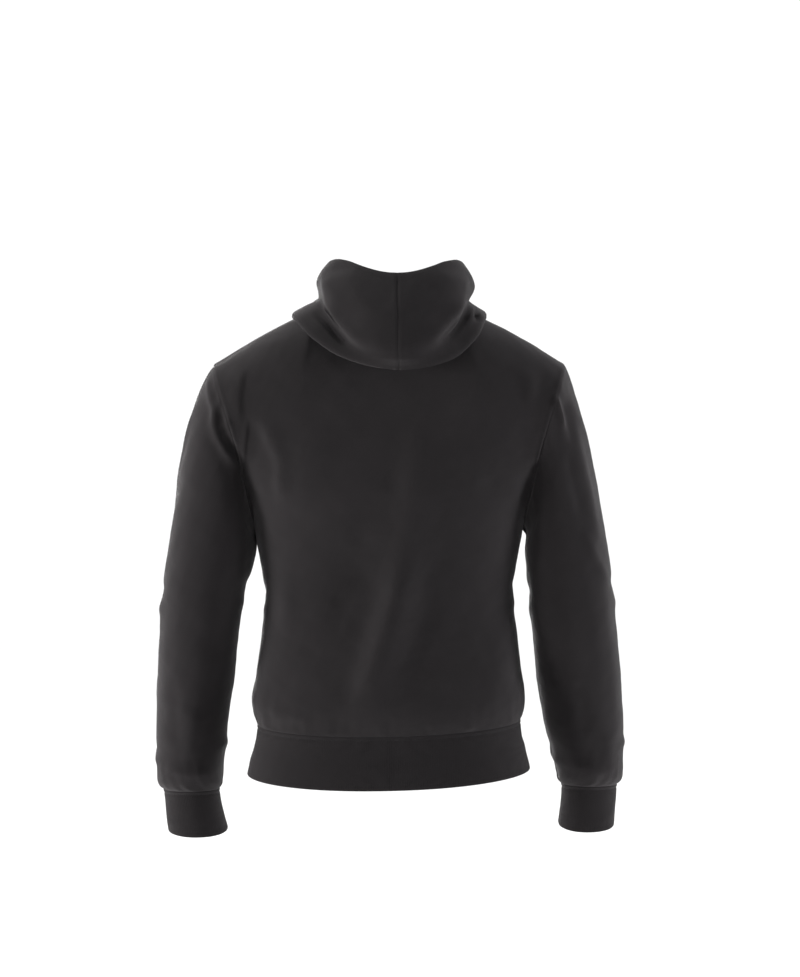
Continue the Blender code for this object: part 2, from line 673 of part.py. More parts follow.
def cloth_panels():
    back = tilted(whole_from_half(half_panel("back")))
    front = tilted(half_panel("front"))
    front_right = tilted(mirrored(half_panel("front")))
    sleeve_left, sleeve_right = sleeve_grid("left"), mirrored(sleeve_grid("right"))
    cuff_left = cuff_grid("left", sleeve_grid("left")[-1])
    cuff_right = mirrored(cuff_grid("right", sleeve_grid("right")[-1]))
    return [
        Panel("back", back, FLEECE, "fleece", "the body"),
        Panel("front_left", front, FLEECE, "fleece", "the body"),
        Panel("front_right", front_right, FLEECE, "fleece", "the body"),
        Panel("sleeve_left_upper", sleeve_left[: ELBOW_ROW + 1], FLEECE, "fleece", "its rings"),
        Panel("sleeve_left_lower", sleeve_left[ELBOW_ROW:], FLEECE, "fleece", "its rings"),
        Panel("sleeve_right_upper", sleeve_right[: ELBOW_ROW + 1], FLEECE, "fleece", "its rings"),
        Panel("sleeve_right_lower", sleeve_right[ELBOW_ROW:], FLEECE, "fleece", "its rings"),
        Panel("cuff_left", cuff_left, RIB, "rib", "its rings"),
        Panel("cuff_right", cuff_right, RIB, "rib", "its rings"),
        Panel("waistband", waistband_grid(), RIB, "rib", "the body"),
        Panel("hood_left", hood_grid("left"), FLEECE, "fleece", "its columns"),
        Panel("hood_right", mirrored(hood_grid("right")), FLEECE, "fleece", "its columns"),
    ]


def zip_strip(name, across, depths, ends, colour, parent):
    """A strip up the zip: a rectangle, given by its two sides and its two depths, carried up the front."""
    line, out = zip_line(*ends)
    points = []
    for x, deep in zip(across + across[::-1], (depths[0], depths[0], depths[1], depths[1])):
        points.append(line + np.array([x, 0, 0]) - deep * out)
    points = np.stack(points, axis=1)
    faces = []
    for r in range(len(line) - 1):
        for c in range(4):
            d = (c + 1) % 4
            faces.append((r * 4 + c, r * 4 + d, r * 4 + 4 + d, r * 4 + 4 + c))
    faces += [(0, 1, 2, 3), tuple(len(line) * 4 - n for n in (4, 3, 2, 1))]
    return add_object(name, mesh_from(name, points.reshape(-1, 3), faces), colour, parent)


def block(bm, size, centre):
    """A box in a bmesh: its size and middle along X, out of the cloth and up the zip."""
    matrix = Matrix.Translation(Vector(centre)) @ Matrix.Diagonal((*size, 1.0))
    return bmesh.ops.create_cube(bm, size=1.0, matrix=matrix)["verts"]


def boxes_object(name, boxes, colour, bevel):
    """One solid from overlapping boxes, joined by Booleans, with its edges bevelled."""
    base = None
    for n, (size, centre) in enumerate(boxes):
        bm = bmesh.new()
        block(bm, size, centre)
        mesh = bpy.data.meshes.new(f"{name}_{n}")
        bm.to_mesh(mesh)
        bm.free()
        if base is None:
            base = add_object(name, mesh, colour, None)
            continue
        tool = add_object(f"{name}_tool_{n}", mesh, colour, base)
        tool.hide_render = True
        tool.display_type = "WIRE"
        join = base.modifiers.new(f"join_{n}", "BOOLEAN")
        join.operation = "UNION"
        join.object = tool
    if bevel:
        edge = base.modifiers.new("bevel", "BEVEL")
        edge.width = bevel
        edge.segments = 1
    return base


def place_on_zip(obj, z, depth, parent):
    """Stands an object on the zip's line: its Z runs up the zip, its -Y faces out."""
    line, out = zip_line(z)
    up = Vector(line[-1] - line[-2]).normalized()
    outward = Vector(out[-1])
    rotation = Matrix((Vector((1, 0, 0)), -outward, up)).transposed()
    obj.matrix_world = Matrix.Translation(Vector(line[-1]) - depth * outward) @ rotation.to_4x4()
    obj.parent = parent


def slider(parent):
    """Two plates with the chain between them, the post that parts the chain, and the bail over the pull."""
    post_middle = SLIDER_LENGTH / 2 - POST_LENGTH / 2 - OVERLAP
    rise_middle = SLIDER_FACE - BAIL_RISE / 2 + OVERLAP
    foot = (2 * BAIL_HALF, BAIL_RISE, BAIL_BAR)
    foot_z = BAIL_LENGTH / 2 - BAIL_BAR / 2 - OVERLAP / 2
    plate = (2 * SLIDER_HALF, SLIDER_PLATE, SLIDER_LENGTH)
    plate_y = -SLIDER_FACE - SLIDER_PLATE / 2
    boxes = [
        (plate, (0, -plate_y, 0)),
        (plate, (0, plate_y, 0)),
        ((2 * POST_HALF, -2 * SLIDER_FACE - SLIDER_PLATE, POST_LENGTH), (0, 0, post_middle)),
        ((2 * BAIL_HALF + OVERLAP, BAIL_BAR, BAIL_LENGTH), (0, SLIDER_FACE - BAIL_RISE + BAIL_BAR / 2, 0)),
        (foot, (0, rise_middle, foot_z)),
        (foot, (0, rise_middle, -foot_z)),
    ]
    made = boxes_object("zip_slider", boxes, "zip_metal", 0.0)
    place_on_zip(made, SLIDER_Z, CHAIN_MIDDLE, parent)
    return made


def pull(slider_object, parent):
    """The tab hangs from its crossbar under the bail. Its origin is on the crossbar's axis."""
    side_bar = PULL_HALF - PULL_EYE_HALF
    side_x = PULL_EYE_HALF + side_bar / 2
    tab_length = PULL_LENGTH - PULL_EYE_LENGTH
    boxes = [
        ((2 * PULL_HALF - OVERLAP, PULL_THICK, PULL_THICK), (0, 0, 0)),
        ((side_bar, PULL_THICK, PULL_EYE_LENGTH + PULL_THICK), (side_x, 0, -PULL_EYE_LENGTH / 2)),
        ((side_bar, PULL_THICK, PULL_EYE_LENGTH + PULL_THICK), (-side_x, 0, -PULL_EYE_LENGTH / 2)),
        ((2 * PULL_HALF + OVERLAP, PULL_THICK, tab_length), (0, 0, -PULL_EYE_LENGTH - tab_length / 2)),
    ]
    made = boxes_object("zip_pull", boxes, "zip_metal", 0.0)
    made.matrix_world = slider_object.matrix_world @ Matrix.Translation((0, PULL_AXIS_Y, PULL_AXIS_Z))
    made.parent = parent
    return made


def small_block(name, size, place, parent):
    """A bevelled block on the zip: place is its middle across, deep in the cloth and in height."""
    across, depth, z = place
    made = boxes_object(name, [(size, (across, 0, 0))], "zip_metal", BLOCK_BEVEL)
    place_on_zip(made, z, depth, parent)
    return made


def clear_scene():
    for obj in list(bpy.data.objects):
        bpy.data.objects.remove(obj, do_unlink=True)


def main():
    clear_scene()
    hoodie = bpy.data.objects.new("hoodie", None)
    bpy.context.scene.collection.objects.link(hoodie)
    panels = cloth_panels()
    walls, parting = mitres_of(panels)
    for panel in panels:
        outer, inner = wall_points(panel, walls, parting)
        rows, columns = panel.grid.shape[:2]
        points = np.concatenate([outer.reshape(-1, 3), inner.reshape(-1, 3)])
        mesh = mesh_from(panel.name, points, panel_faces(rows, columns, panel.closed))
        add_object(panel.name, mesh, panel.colour, hoodie)
    tape_depths = (TAPE_DEPTH, TAPE_DEPTH + TAPE)
    for side, sign in (("left", 1), ("right", -1)):
        tape_sides = (sign * TAPE_INNER, sign * TAPE_OUTER)
        zip_strip(f"zip_tape_{side}", tape_sides, tape_depths, (ZIP_TOP_Z,), "zip_tape", hoodie)
        small_block(f"zip_top_stop_{side}", STOP_SIZE, (sign * STOP_X, STOP_DEPTH, STOP_Z), hoodie)
    chain_sides, chain_depths = (-CHAIN_HALF, CHAIN_HALF), (CHAIN_DEPTH, CHAIN_DEPTH + CHAIN_THICK)
    zip_strip("zip_chain", chain_sides, chain_depths, (CHAIN_END, CHAIN_START), "zip_metal", hoodie)
    small_block("zip_box", BOX_SIZE, (0.0, CHAIN_MIDDLE, BOX_Z), hoodie)
    slider_object = slider(hoodie)
    pull(slider_object, hoodie)


main()
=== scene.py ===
"""The looks of a zip-up fleece hoodie, worn and hanging from the shoulders, hood down and zip closed.

Metres, +Z up. The wearer faces -Y, so their left is +X. The origin is the middle of the neck opening.
Each cloth panel is worked out from the same sizes as its solid, read more finely, creased and given a wall.
"""

import math
from collections import defaultdict
from contextlib import contextmanager
from functools import lru_cache

import bmesh
import bpy
import numpy as np
from mathutils import Matrix, Vector


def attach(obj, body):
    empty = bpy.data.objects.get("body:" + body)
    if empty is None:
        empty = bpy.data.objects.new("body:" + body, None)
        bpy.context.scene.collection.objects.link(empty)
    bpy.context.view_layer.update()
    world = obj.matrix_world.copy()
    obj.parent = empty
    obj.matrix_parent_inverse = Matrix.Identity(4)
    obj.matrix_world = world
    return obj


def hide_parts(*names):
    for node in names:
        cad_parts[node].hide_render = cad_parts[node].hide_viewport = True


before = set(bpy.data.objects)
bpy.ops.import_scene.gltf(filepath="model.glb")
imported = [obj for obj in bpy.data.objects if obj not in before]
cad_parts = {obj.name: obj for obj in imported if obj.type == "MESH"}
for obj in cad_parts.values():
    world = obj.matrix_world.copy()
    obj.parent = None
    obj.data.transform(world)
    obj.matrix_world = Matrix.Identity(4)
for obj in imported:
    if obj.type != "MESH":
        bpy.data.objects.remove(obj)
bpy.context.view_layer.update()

bl_info = {
    "name": "Fleece hoodie",
    "version": (1, 0, 0),
    "blender": (4, 5, 0),
    "location": "View3D > Sidebar > Hoodie",
    "description": "Builds the cloth, ribbing, stitching and zip of a worn fleece hoodie",
    "category": "Object",
}

GARMENT, PULL = "garment", "pull"
SIDES = {"left": 1.0, "right": -1.0}  # which way along X each of the wearer's sides lies
MM = 0.001


# ---------------------------------------------------------------- sizes shared with the solids
FLEECE = 0.0020
RIB = 0.0024
TAPE = 0.0010
SEAM_GAP = 0.0003

# Grid density of the panels
HALF_COLUMNS = 14  # from the middle of the back or front to the side seam
NECK_COLUMNS = 6  # of those, the columns that end on the neck seam
LOWER_ROWS = 8  # from the waistband up to the armpit
ARMHOLE_ROWS = 9  # from the armpit up to the shoulder seam
SLEEVE_STEPS = (1, 1, 1, 1, 1, 2, 1, 2, 1, 1, 1, 1, 1)  # rows from one ring of the table to the next
CUFF_STEPS = (1, 1, 1)
WAISTBAND_ROWS = 3

# Body heights, half widths and depths
HEM_Z = -0.659
WAISTBAND_Z = -0.590
ARMPIT_Z = -0.318
HEM_TILT = 0.022  # the hem hangs a little lower on the wearer's left
HEM_BOW = 0.060  # and lower behind than at the sides, as slopes
HEM_RISE = 0.007  # at the sides
FACING = {"back": 1.0, "front": -1.0}  # which way along Y each face looks
ZIP_HALF = 0.0062  # each front edge stands this far from the zip's middle


def table(columns, *rows):
    """A table written in millimetres, a row for each section, as tuples of metres, one for each column."""
    return {name: tuple(value * MM for value in values) for name, values in zip(columns.split(), zip(*rows))}


# A row for each level: height, half width, depth behind and in front of the side seams, in millimetres
BODY = table(
    "z half_width back front",
    (-659, 197.2, 116, 120),
    (-640, 192.5, 113, 119),
    (-618, 186.8, 108.5, 117),
    (-600, 183.2, 105, 115),
    (-590, 183.6, 105, 115),
    (-578, 188.5, 110.5, 120),
    (-560, 189.6, 113, 122.5),
    (-520, 184.8, 108.5, 120),
    (-465, 179.2, 103, 117),
    (-409, 173.6, 103, 118),
    (-355, 180.6, 112, 123),
    (-318, 186.5, 118, 126),
)
BODY_SQUARENESS = 2.35  # exponent of the body's rings: 2 is an ellipse

# Neck opening and shoulder line
NECK_HALF_WIDTH = 0.085
NECK_DEPTH = {"back": 0.062, "front": 0.078}
NECK_DROP = {"back": 0.018, "front": 0.085}
NECK_CURVE = {"back": 1.5, "front": 1.35}  # exponents of the neck seam's dip
SHOULDER_TIP = (0.2455, 0.000, -0.087)
SHOULDER_CROWN = 0.004  # the shoulder seam bows up this much between neck and tip

# How the upper body rounds over from the chest to the shoulder seam
BLADE = {"back": 0.082, "front": 0.080}  # depth from the side seams to the armhole's middle
BLADE_REACH = 2.4  # exponents: how closely the depth keeps to the side, and how round it is up the armhole
BLADE_ROUND = 0.8
UPRIGHT = 0.62  # how far up the cloth stays upright, as a share of the height
OVERHANG = 0.60  # how far in from the top it has turned level, as a share of the depth
SHOULDER_RISE = 0.25  # slope at which the cloth reaches the shoulder seam
NECK_RISE = {"back": 0.7, "front": 1.5}
ARMHOLE_LEAN = 1.15  # exponent of the armhole seam's path from armpit to shoulder tip
ARMHOLE_SCOOP = {"back": 0.004, "front": 0.014}
ARMHOLE_REACH = 4  # exponents: how closely the seam's own path keeps to it, and how round its scoop is
SCOOP_ROUND = 1.5
ARRIVAL_PASSES = 9  # of smoothing, over the ways in which the columns reach the top
ARMHOLE_LIFT = 0.13  # the armhole seam leaves the armpit this much more steeply than a round arc

# A row for each ring: the sleeve's outer and inner line as seen from behind, its middle and its half depth.
# The left and the right sleeve hang a little differently.
SLEEVE = table(
    "outer_z outer_left outer_right inner_z inner_left inner_right middle_y half_depth",
    (-115, 262, 255.5, -325, 188.2, 191.5, 0, 80),
    (-155, 276, 268.5, -331, 186.8, 191.5, 0, 81),
    (-205, 286.2, 279.2, -339, 185.8, 190.5, 1, 80),
    (-262, 294.5, 289.5, -353, 187.2, 190, 2, 78.5),
    (-325, 305.2, 301.5, -378, 193.5, 191.5, 4, 76.5),
    (-395, 313.6, 311.5, -417, 203.5, 196, 5, 73.5),
    (-455, 319.5, 319, -463, 210.5, 200.5, 2, 70),
    (-520, 324, 325.5, -522, 218, 207, -6, 65),
    (-572.5, 326.2, 328.5, -574.5, 225, 216, -15, 61),
    (-620.5, 327.2, 329.8, -622.5, 230.5, 227.5, -24, 56.8),
    (-657, 327.2, 329.5, -657, 234, 235, -30, 52.8),
    (-669, 325.2, 327.5, -669, 236, 237.5, -32, 48.4),
    (-676, 319, 322, -676, 240, 243.5, -33, 44),
)
SLEEVE_SQUARENESS = 2.15
CUFF_DROP_LEFT = 0.007  # the left sleeve hangs this much lower than the table, from the elbow down
ELBOW_Z = -0.395
DROP_REACH = 0.250  # over which that drop grows
RING_POINTS = 2 * ARMHOLE_ROWS
SPARE = 3  # columns of a ring that are repeated past its cut, so that it reads smoothly there

# A row for each ring of the cuff, measured down from its seam. tilt is how far a ring falls towards the back
# over a metre
CUFF = table(
    "below outer_left outer_right inner_left inner_right half_depth middle_y tilt",
    (0, 319, 322, 240, 243.5, 44, -33, 0),
    (6, 318, 321.5, 239.5, 243.8, 41, -33, 20),
    (28.5, 316.2, 320.5, 235.5, 242.5, 40, -37, 90),
    (57.5, 313.5, 318.7, 228.5, 239, 41, -42, 180),
)

# The hood's guide lines, in order from the neck seam: the stand, the layer under the fold, the outer roll,
# the valley, the ridge of the upper flap, the flap's face, its crest and the opening edge. A row for each
# direction round the neck, where 0 is the front, 90 the side and 180 the back. The first table is their
# distance out from the neck's axis, and the second their height, in millimetres.
HOOD_DIRECTIONS = (0, 20, 45, 68, 90, 105, 118, 132, 156, 180)
HOOD_OUT = table(
    "stand under roll valley ridge face crest edge",
    (75.5, 80, 85, 87, 87, 85, 81, 78),
    (77.5, 87, 97, 96, 95, 90, 83, 79),
    (82, 98, 113, 107, 106, 99, 86, 78),
    (86, 109, 126, 109, 109, 105, 89, 77),
    (88, 115, 134, 105.5, 107, 107.5, 90, 77),
    (86, 114.5, 138.5, 110, 111, 109.5, 90, 77.5),
    (82.5, 114, 142, 114.5, 115, 110.5, 89.5, 78),
    (78.5, 111, 142, 118, 121, 113, 88, 80),
    (73, 103, 134, 134, 140, 121, 91, 86),
    (70, 104, 134, 148, 148, 124, 93, 89),
)
HOOD_Z = table(
    "stand under roll valley ridge face crest edge",
    (-78, -73, -68, -60, -50, -37, -24, -17),
    (-66, -70, -69, -56, -43, -26, -11, -5),
    (-39, -56, -64, -40, -24, -5, 15, 15),
    (-10, -18, -24, -5, 5, 22, 42, 37),
    (6, -8.5, -18.5, 7, 16, 34, 56, 50),
    (6, -11, -24, 1, 12, 34, 58.5, 52.5),
    (5, -18, -36, -9, 4, 30, 57.5, 52.5),
    (4, -29.5, -62, -25, -12, 19, 51.5, 49),
    (2, -44, -93, -72, -56, -2, 37.5, 39),
    (-1, -50, -101, -84, -64, -12, 29, 32),
)
HOOD_STEPS = (1, 2, 2, 1, 1, 2, 1, 2, 2, 1)  # rows from one guide line to the next, with the roll as three
ROLL_RADIUS = 0.0036
HOOD_AXIS_Y = -0.005
HOOD_SHIFT = -0.009  # the upper flap sits this far towards the wearer's right
HOOD_SWING_END = 70.0  # the two front edges lean apart, which fades out at this direction

# For each guide line: the share of HOOD_SHIFT that it takes, and its swing at the front in degrees
HOOD_LINES = {
    "stand": (0.0, 0.0),
    "under": (0.0, 2.0),
    "roll": (0.0, 4.0),
    "valley": (0.6, 6.0),
    "ridge": (1.0, 8.0),
    "face": (1.0, 12.0),
    "crest": (1.0, 16.0),
    "edge": (1.0, 18.0),
}

# Zip
TAPE_INNER = 0.0034
TAPE_STEP = 0.003  # from one row of the tape to the next
TAPE_BACK = 0.0001
TAPE_DEPTH = RIB + 2 * SEAM_GAP  # the tape lies this far below the garment's outer face
CHAIN_HALF = 0.0030
CHAIN_THICK = 0.0026
CHAIN_DEPTH = 0.0016
CHAIN_MIDDLE = CHAIN_DEPTH + CHAIN_THICK / 2
TOOTH_SIZE = (0.0031, CHAIN_THICK, 0.00125)
CHAIN_END = -0.1000
BOX_SIZE = (0.0062, 0.0040, 0.0090)  # the retainer at the foot of the zip
SLOT_HALF = 0.0007  # of the pin's slot in it
BOX_Z = HEM_Z + 0.0060
CHAIN_START = BOX_Z + BOX_SIZE[2] / 2 + SEAM_GAP
ZIP_TOP_Z = -0.0880
STOP_SIZE = (0.0022, 0.0024, 0.0040)
STOP_X = 0.0046
STOP_DEPTH = TAPE_DEPTH - STOP_SIZE[1] / 2 - SEAM_GAP
STOP_Z = ZIP_TOP_Z - 0.0030
# How wide the edges of each metal shape are rounded
EDGES = {
    "plate": 0.00018,
    "flange": 0.0002,
    "post": 0.0003,
    "bail": 0.00028,
    "cap": 0.00015,
    "pull": 0.00022,
    "stop": 0.0003,
    "box": 0.00035,
}
SLIDER_Z = -0.1010
SLIDER_LENGTH = 0.0115
SLIDER_HALF = 0.0047
SLIDER_PLATE = 0.0010
SLIDER_ROOM = 0.0005  # between a plate and the chain
SLIDER_FACE = -(CHAIN_THICK / 2 + SLIDER_ROOM + SLIDER_PLATE)  # of the front plate, from the chain's middle
POST_HALF = 0.0012
POST_LENGTH = 0.0030
BAIL_LENGTH = 0.0080
BAIL_RISE = 0.0031
BAIL_BAR = 0.0010
BAIL_HALF = 0.0008
OVERLAP = 0.0002  # how far joined boxes reach past each other
PULL_LENGTH = 0.0260
PULL_HALF = 0.0042
PULL_THICK = 0.0011
PULL_EYE_HALF = 0.0019
PULL_EYE_LENGTH = 0.0070
PULL_GRIP = (-0.0100, -0.0215)  # top and foot of its sunk grip
PULL_AXIS_Y = SLIDER_FACE - (BAIL_RISE - BAIL_BAR) / 2
PULL_AXIS_Z = 0.0014


# ---------------------------------------------------------------- sizes of the looks only
# Reading the cloth finely. A pair is where something begins, and over what distance it grows
CELL = 0.0031
NEAR_SEAM = (0.0, 0.0006, 0.0012, 0.0019, 0.0028, 0.0040, 0.0056, 0.0078)  # places read beside a seam
RIM_STEPS = 3  # rows of points that round an open edge
MEETING_SCALE = 2e4  # points meet when they are the same after this scale and rounding
SEAM_PULL = 0.03  # how far from a seam a panel is drawn onto its neighbour's border
COLLAR_PULL = 0.012
EASED_HEIGHT = (-0.400, 0.08)  # where the body's depth is evened: up from here,
EASED_SIDE = (0.004, 0.025)  # in from its sides,
EASED_TOP = (0.001, 0.010)  # and down from its top
EASING = 0.5  # share of the unevenness that each pass takes away
EASING_PASSES = 90
ROUND_REACH = 0.026  # from the hood's centre seam, over which its rows are brought level
ROUND_FOOT = 0.03  # from the neck seam, over which that grows
LEAN_STEP = 0.004  # over which the hood's slope beside its centre seam is measured
SLIDE_COLUMNS = (7.0, 4.0)  # columns of the hood over which its centre seam slides
# How far the seam is slid over with its upper flap, at rows of the hood's grid
SEAM_SLIDE = {0: 0.0, 4: 1.0, 6: 1.6, 8: 1.2, 9: 0.87, 10: 0.4, 12: 0.3, 15: 0.28}

# Seams
GROOVE = 0.0006
HOOD_GROOVE = 0.0005
RIB_GROOVE = 0.0009  # the rib lies under the fleece's edge
LIP = 0.0002
GROOVE_WIDTH = 0.0014
WELT = 0.0004  # the seam allowance shows as a low ridge beside the seam
WELT_PLACE = 0.0046
WELT_WIDTH = 0.0028
CALM = 0.018  # creases die out over this distance from a calm border
ZIP_CALM = 0.045
HOOD_CALM = 0.008

# Creases and puckers
CREASE_STEPS = 4  # places read from one point of a crease's path to the next
CREASE_RISE = 0.28  # shares of its path over which a crease rises and dies out
CREASE_FALL = 0.34
CREASE_REACH = 3.0  # widths from its path that a crease is felt
CREASE_FACING = (0.04, 0.5)  # how squarely cloth has to face the side that a crease is drawn from
UNEVEN_WAVES = 9
# Low unevenness of all the cloth: how high, over what length, and the number that its waves start from
UNEVEN = ((0.0010, 0.130, 3), (0.0004, 0.050, 7), (0.00016, 0.018, 11))
# Puckers beside a seam, on each kind of piece: how high, over what length, and how far they run out
GATHERS = {
    "body": {"foot": (0.0008, 0.016, 0.030)},
    "sleeve": {"head": (0.0009, 0.014, 0.026), "foot": (0.0005, 0.020, 0.020)},
}
GATHERS_START = 19
PUCKER_START = 0.007  # from the seam, over which they rise
PUCKER_STRETCH = 0.25

# Stitches and turned hems
SEAM_TO_STITCH = 0.0060
FRONT_STITCH = 0.0060
HOOD_HEM = 0.0135
FRONT_HEM_HEIGHT = 0.0004
HOOD_HEM_HEIGHT = 0.0005
HEM_EDGE = 0.002  # over which a hem rises at its fold
HEM_STEP = 0.0022  # over which it ends at its stitches
HEM_LEAD = 0.0005  # how far before them that begins
STITCH_GROOVE = (0.00045, 0.0011)  # depth and width
RIB_STITCH_GROOVE = (0.0013, 0.0015)
SEAM_OVER_HEM = (0.003, HOOD_HEM)  # where the hood's seams grow to their full height, from its hem's fold
SEAM_AT_FOLD = 0.25  # share of their height at the fold
STITCH_PITCH = 0.0031
STITCH_FILL = 0.86  # share of the pitch that a stitch takes up
STITCH_RADIUS = 0.00034
STITCH_SINK = 0.00016  # below the cloth's face
STITCH_SIDES = 5
STITCH_BOW = ((-0.5, -1.5), (-0.28, 0.25), (0.28, 0.25), (0.5, -1.5))  # place in lengths, height in radii

# Ribs
RIB_PIECES = ("waistband", "cuff_left", "cuff_right")
RIB_PITCH = 0.0024
RIB_HEIGHT = 0.0005
RIB_ROUND = 0.8  # exponent of a rib's section
RIB_MIDDLE = 0.6  # share of a rib's height that lies below the cloth's face
RIB_TOP = (0.0006, 0.003)  # where the ribs grow from the seam
RIB_FOOT = (0.0, 0.004)  # and from the folded edge
RIB_AT_FOLD = 0.35  # share of their height that is left there
RIB_FOLDS = 0.5  # share of the creases that the ribbing takes
BAND_CELLS = 18
CUFF_CELLS = 16
TUCK = 0.0010  # how far a rib piece reaches under the fleece
PLACES_PER_RIB = 3

# A row for each way that a crease is seen from: the way out of the picture, and its two axes
VIEWS = {
    "back": ((0, 1, 0), 0, 2),
    "front": ((0, -1, 0), 0, 2),
    "left": ((1, 0, 0), 1, 2),
    "right": ((-1, 0, 0), 1, 2),
}

# The creases of each cloth as drawn from each side, a row each, in millimetres: its height (a trough has a
# negative one), its widths on the left and on the right of its path, and the points of the path: x and z from
# the back and front, and y and z from the sides.
CREASES = {}
CREASES["body", "back"] = (
    # the wearer's left armhole and upper sleeve, from behind
    (4.0, 7, 3.5, (232, -138), (237, -163), (235, -183), (225, -204), (203, -232)),
    (-2.6, 4, 5, (227, -140), (226, -169), (220, -188), (209, -207), (196, -229)),
    (1.4, 5, 5, (214, -166), (222, -173), (230, -172)),
    (3.3, 6, 5, (252, -96), (246, -128), (239, -152), (238, -170)),
    (2.0, 6, 12, (189, -172), (192, -196), (194, -214), (192, -232)),
    (-2.4, 5, 10, (199, -205), (198, -232), (192, -262), (185, -303), (184, -333)),
    (3.0, 20, 5, (198, -90), (201, -115), (204, -140), (203, -160), (201, -178)),
    (-2.6, 4, 20, (186, -160), (189, -185), (192, -208), (195, -232), (197, -250)),
    (4.5, 11, 14, (176, -150), (160, -190), (147, -221), (146, -260), (151, -300)),
    (2.4, 14, 14, (144, -372), (140, -405), (139, -440), (146, -470)),
    # the right armhole and upper sleeve
    (4.8, 5, 4, (-226, -130), (-232, -150), (-236, -166), (-239, -186)),
    (-3.9, 7, 9, (-238, -128), (-245, -155), (-250, -180), (-252, -210)),
    (2.7, 9, 7, (-250, -160), (-262, -212), (-275, -262), (-284, -317), (-290, -358)),
    (-2.4, 9, 9, (-240, -196), (-250, -240), (-262, -290), (-268, -330)),
    (2.7, 8, 8, (-268, -312), (-282, -352), (-296, -379), (-309, -398)),
    (-1.4, 14, 14, (-170, -84), (-175, -112), (-181, -142), (-186, -170)),
    (-1.2, 9, 12, (-214, -94), (-208, -119), (-203, -142), (-199, -166)),
    (1.5, 14, 9, (-190, -92), (-192, -118), (-190, -146)),
    (-3.0, 6, 6, (-205, -212), (-196, -240), (-185, -272), (-180, -300)),
    # the back's broad soft diagonal and the softer ones beside it
    (8.0, 22, 32, (-46, -110), (-38, -215), (-32, -288), (-20, -355), (-2, -436), (14, -490),
     (28, -530), (46, -590)),
    (12.0, 21, 29, (-24, -330), (-2, -436), (14, -490), (28, -530), (46, -590)),
    (-3.6, 26, 24, (30, -250), (38, -330), (56, -400), (80, -460), (98, -520)),
    (-1.0, 28, 28, (-62, -260), (-56, -340), (-40, -420), (-18, -500)),
    (2.4, 16, 16, (-70, -200), (-94, -225), (-116, -246), (-136, -272)),
    (-1.8, 18, 18, (-90, -190), (-120, -212), (-146, -238)),
    (2.1, 20, 22, (84, -150), (100, -200), (118, -250), (124, -310)),
    (2.2, 12, 10, (172, -560), (152, -567), (130, -571), (104, -572)),
    (-2.0, 16, 14, (-150, -560), (-110, -548), (-66, -544), (-24, -550)),
    (2.2, 18, 20, (-160, -420), (-156, -470), (-146, -520), (-132, -560)),
    # the sleeves below the elbow, from behind
    (2.1, 12, 12, (262, -560), (274, -596), (280, -640)),
    (-2.1, 12, 10, (300, -520), (296, -570), (302, -620)),
    (1.8, 10, 10, (-300, -590), (-306, -632), (-308, -672)),
    (-2.1, 12, 12, (-262, -520), (-268, -566), (-276, -610)),
    (2.2, 9, 8, (248, -650), (268, -656), (292, -654), (312, -644)),
    (2.0, 8, 9, (-250, -652), (-272, -646), (-296, -652), (-314, -662)),
)
CREASES["body", "left"] = (
    # the outsides of the sleeves
    (2.0, 8, 10, (-52, -470), (-20, -440), (18, -425), (50, -432)),
    (-2.2, 9, 8, (-54, -440), (-24, -412), (16, -400), (44, -406)),
    (2.7, 10, 10, (30, -130), (18, -190), (2, -260), (-8, -330)),
    (-2.4, 12, 12, (-30, -150), (-34, -220), (-26, -300)),
    (2.7, 8, 8, (-64, -610), (-38, -630), (-6, -640), (18, -632)),
)
CREASES["body", "right"] = (
    (1.9, 10, 8, (-54, -452), (-26, -430), (10, -418), (46, -424)),
    (-2.0, 8, 9, (-58, -420), (-30, -398), (8, -390), (40, -398)),
    (2.5, 11, 9, (34, -140), (24, -200), (6, -270), (2, -330)),
    (-2.5, 12, 12, (-26, -170), (-30, -240), (-22, -310)),
    (2.4, 8, 8, (-68, -640), (-40, -622), (-8, -616), (20, -628)),
)
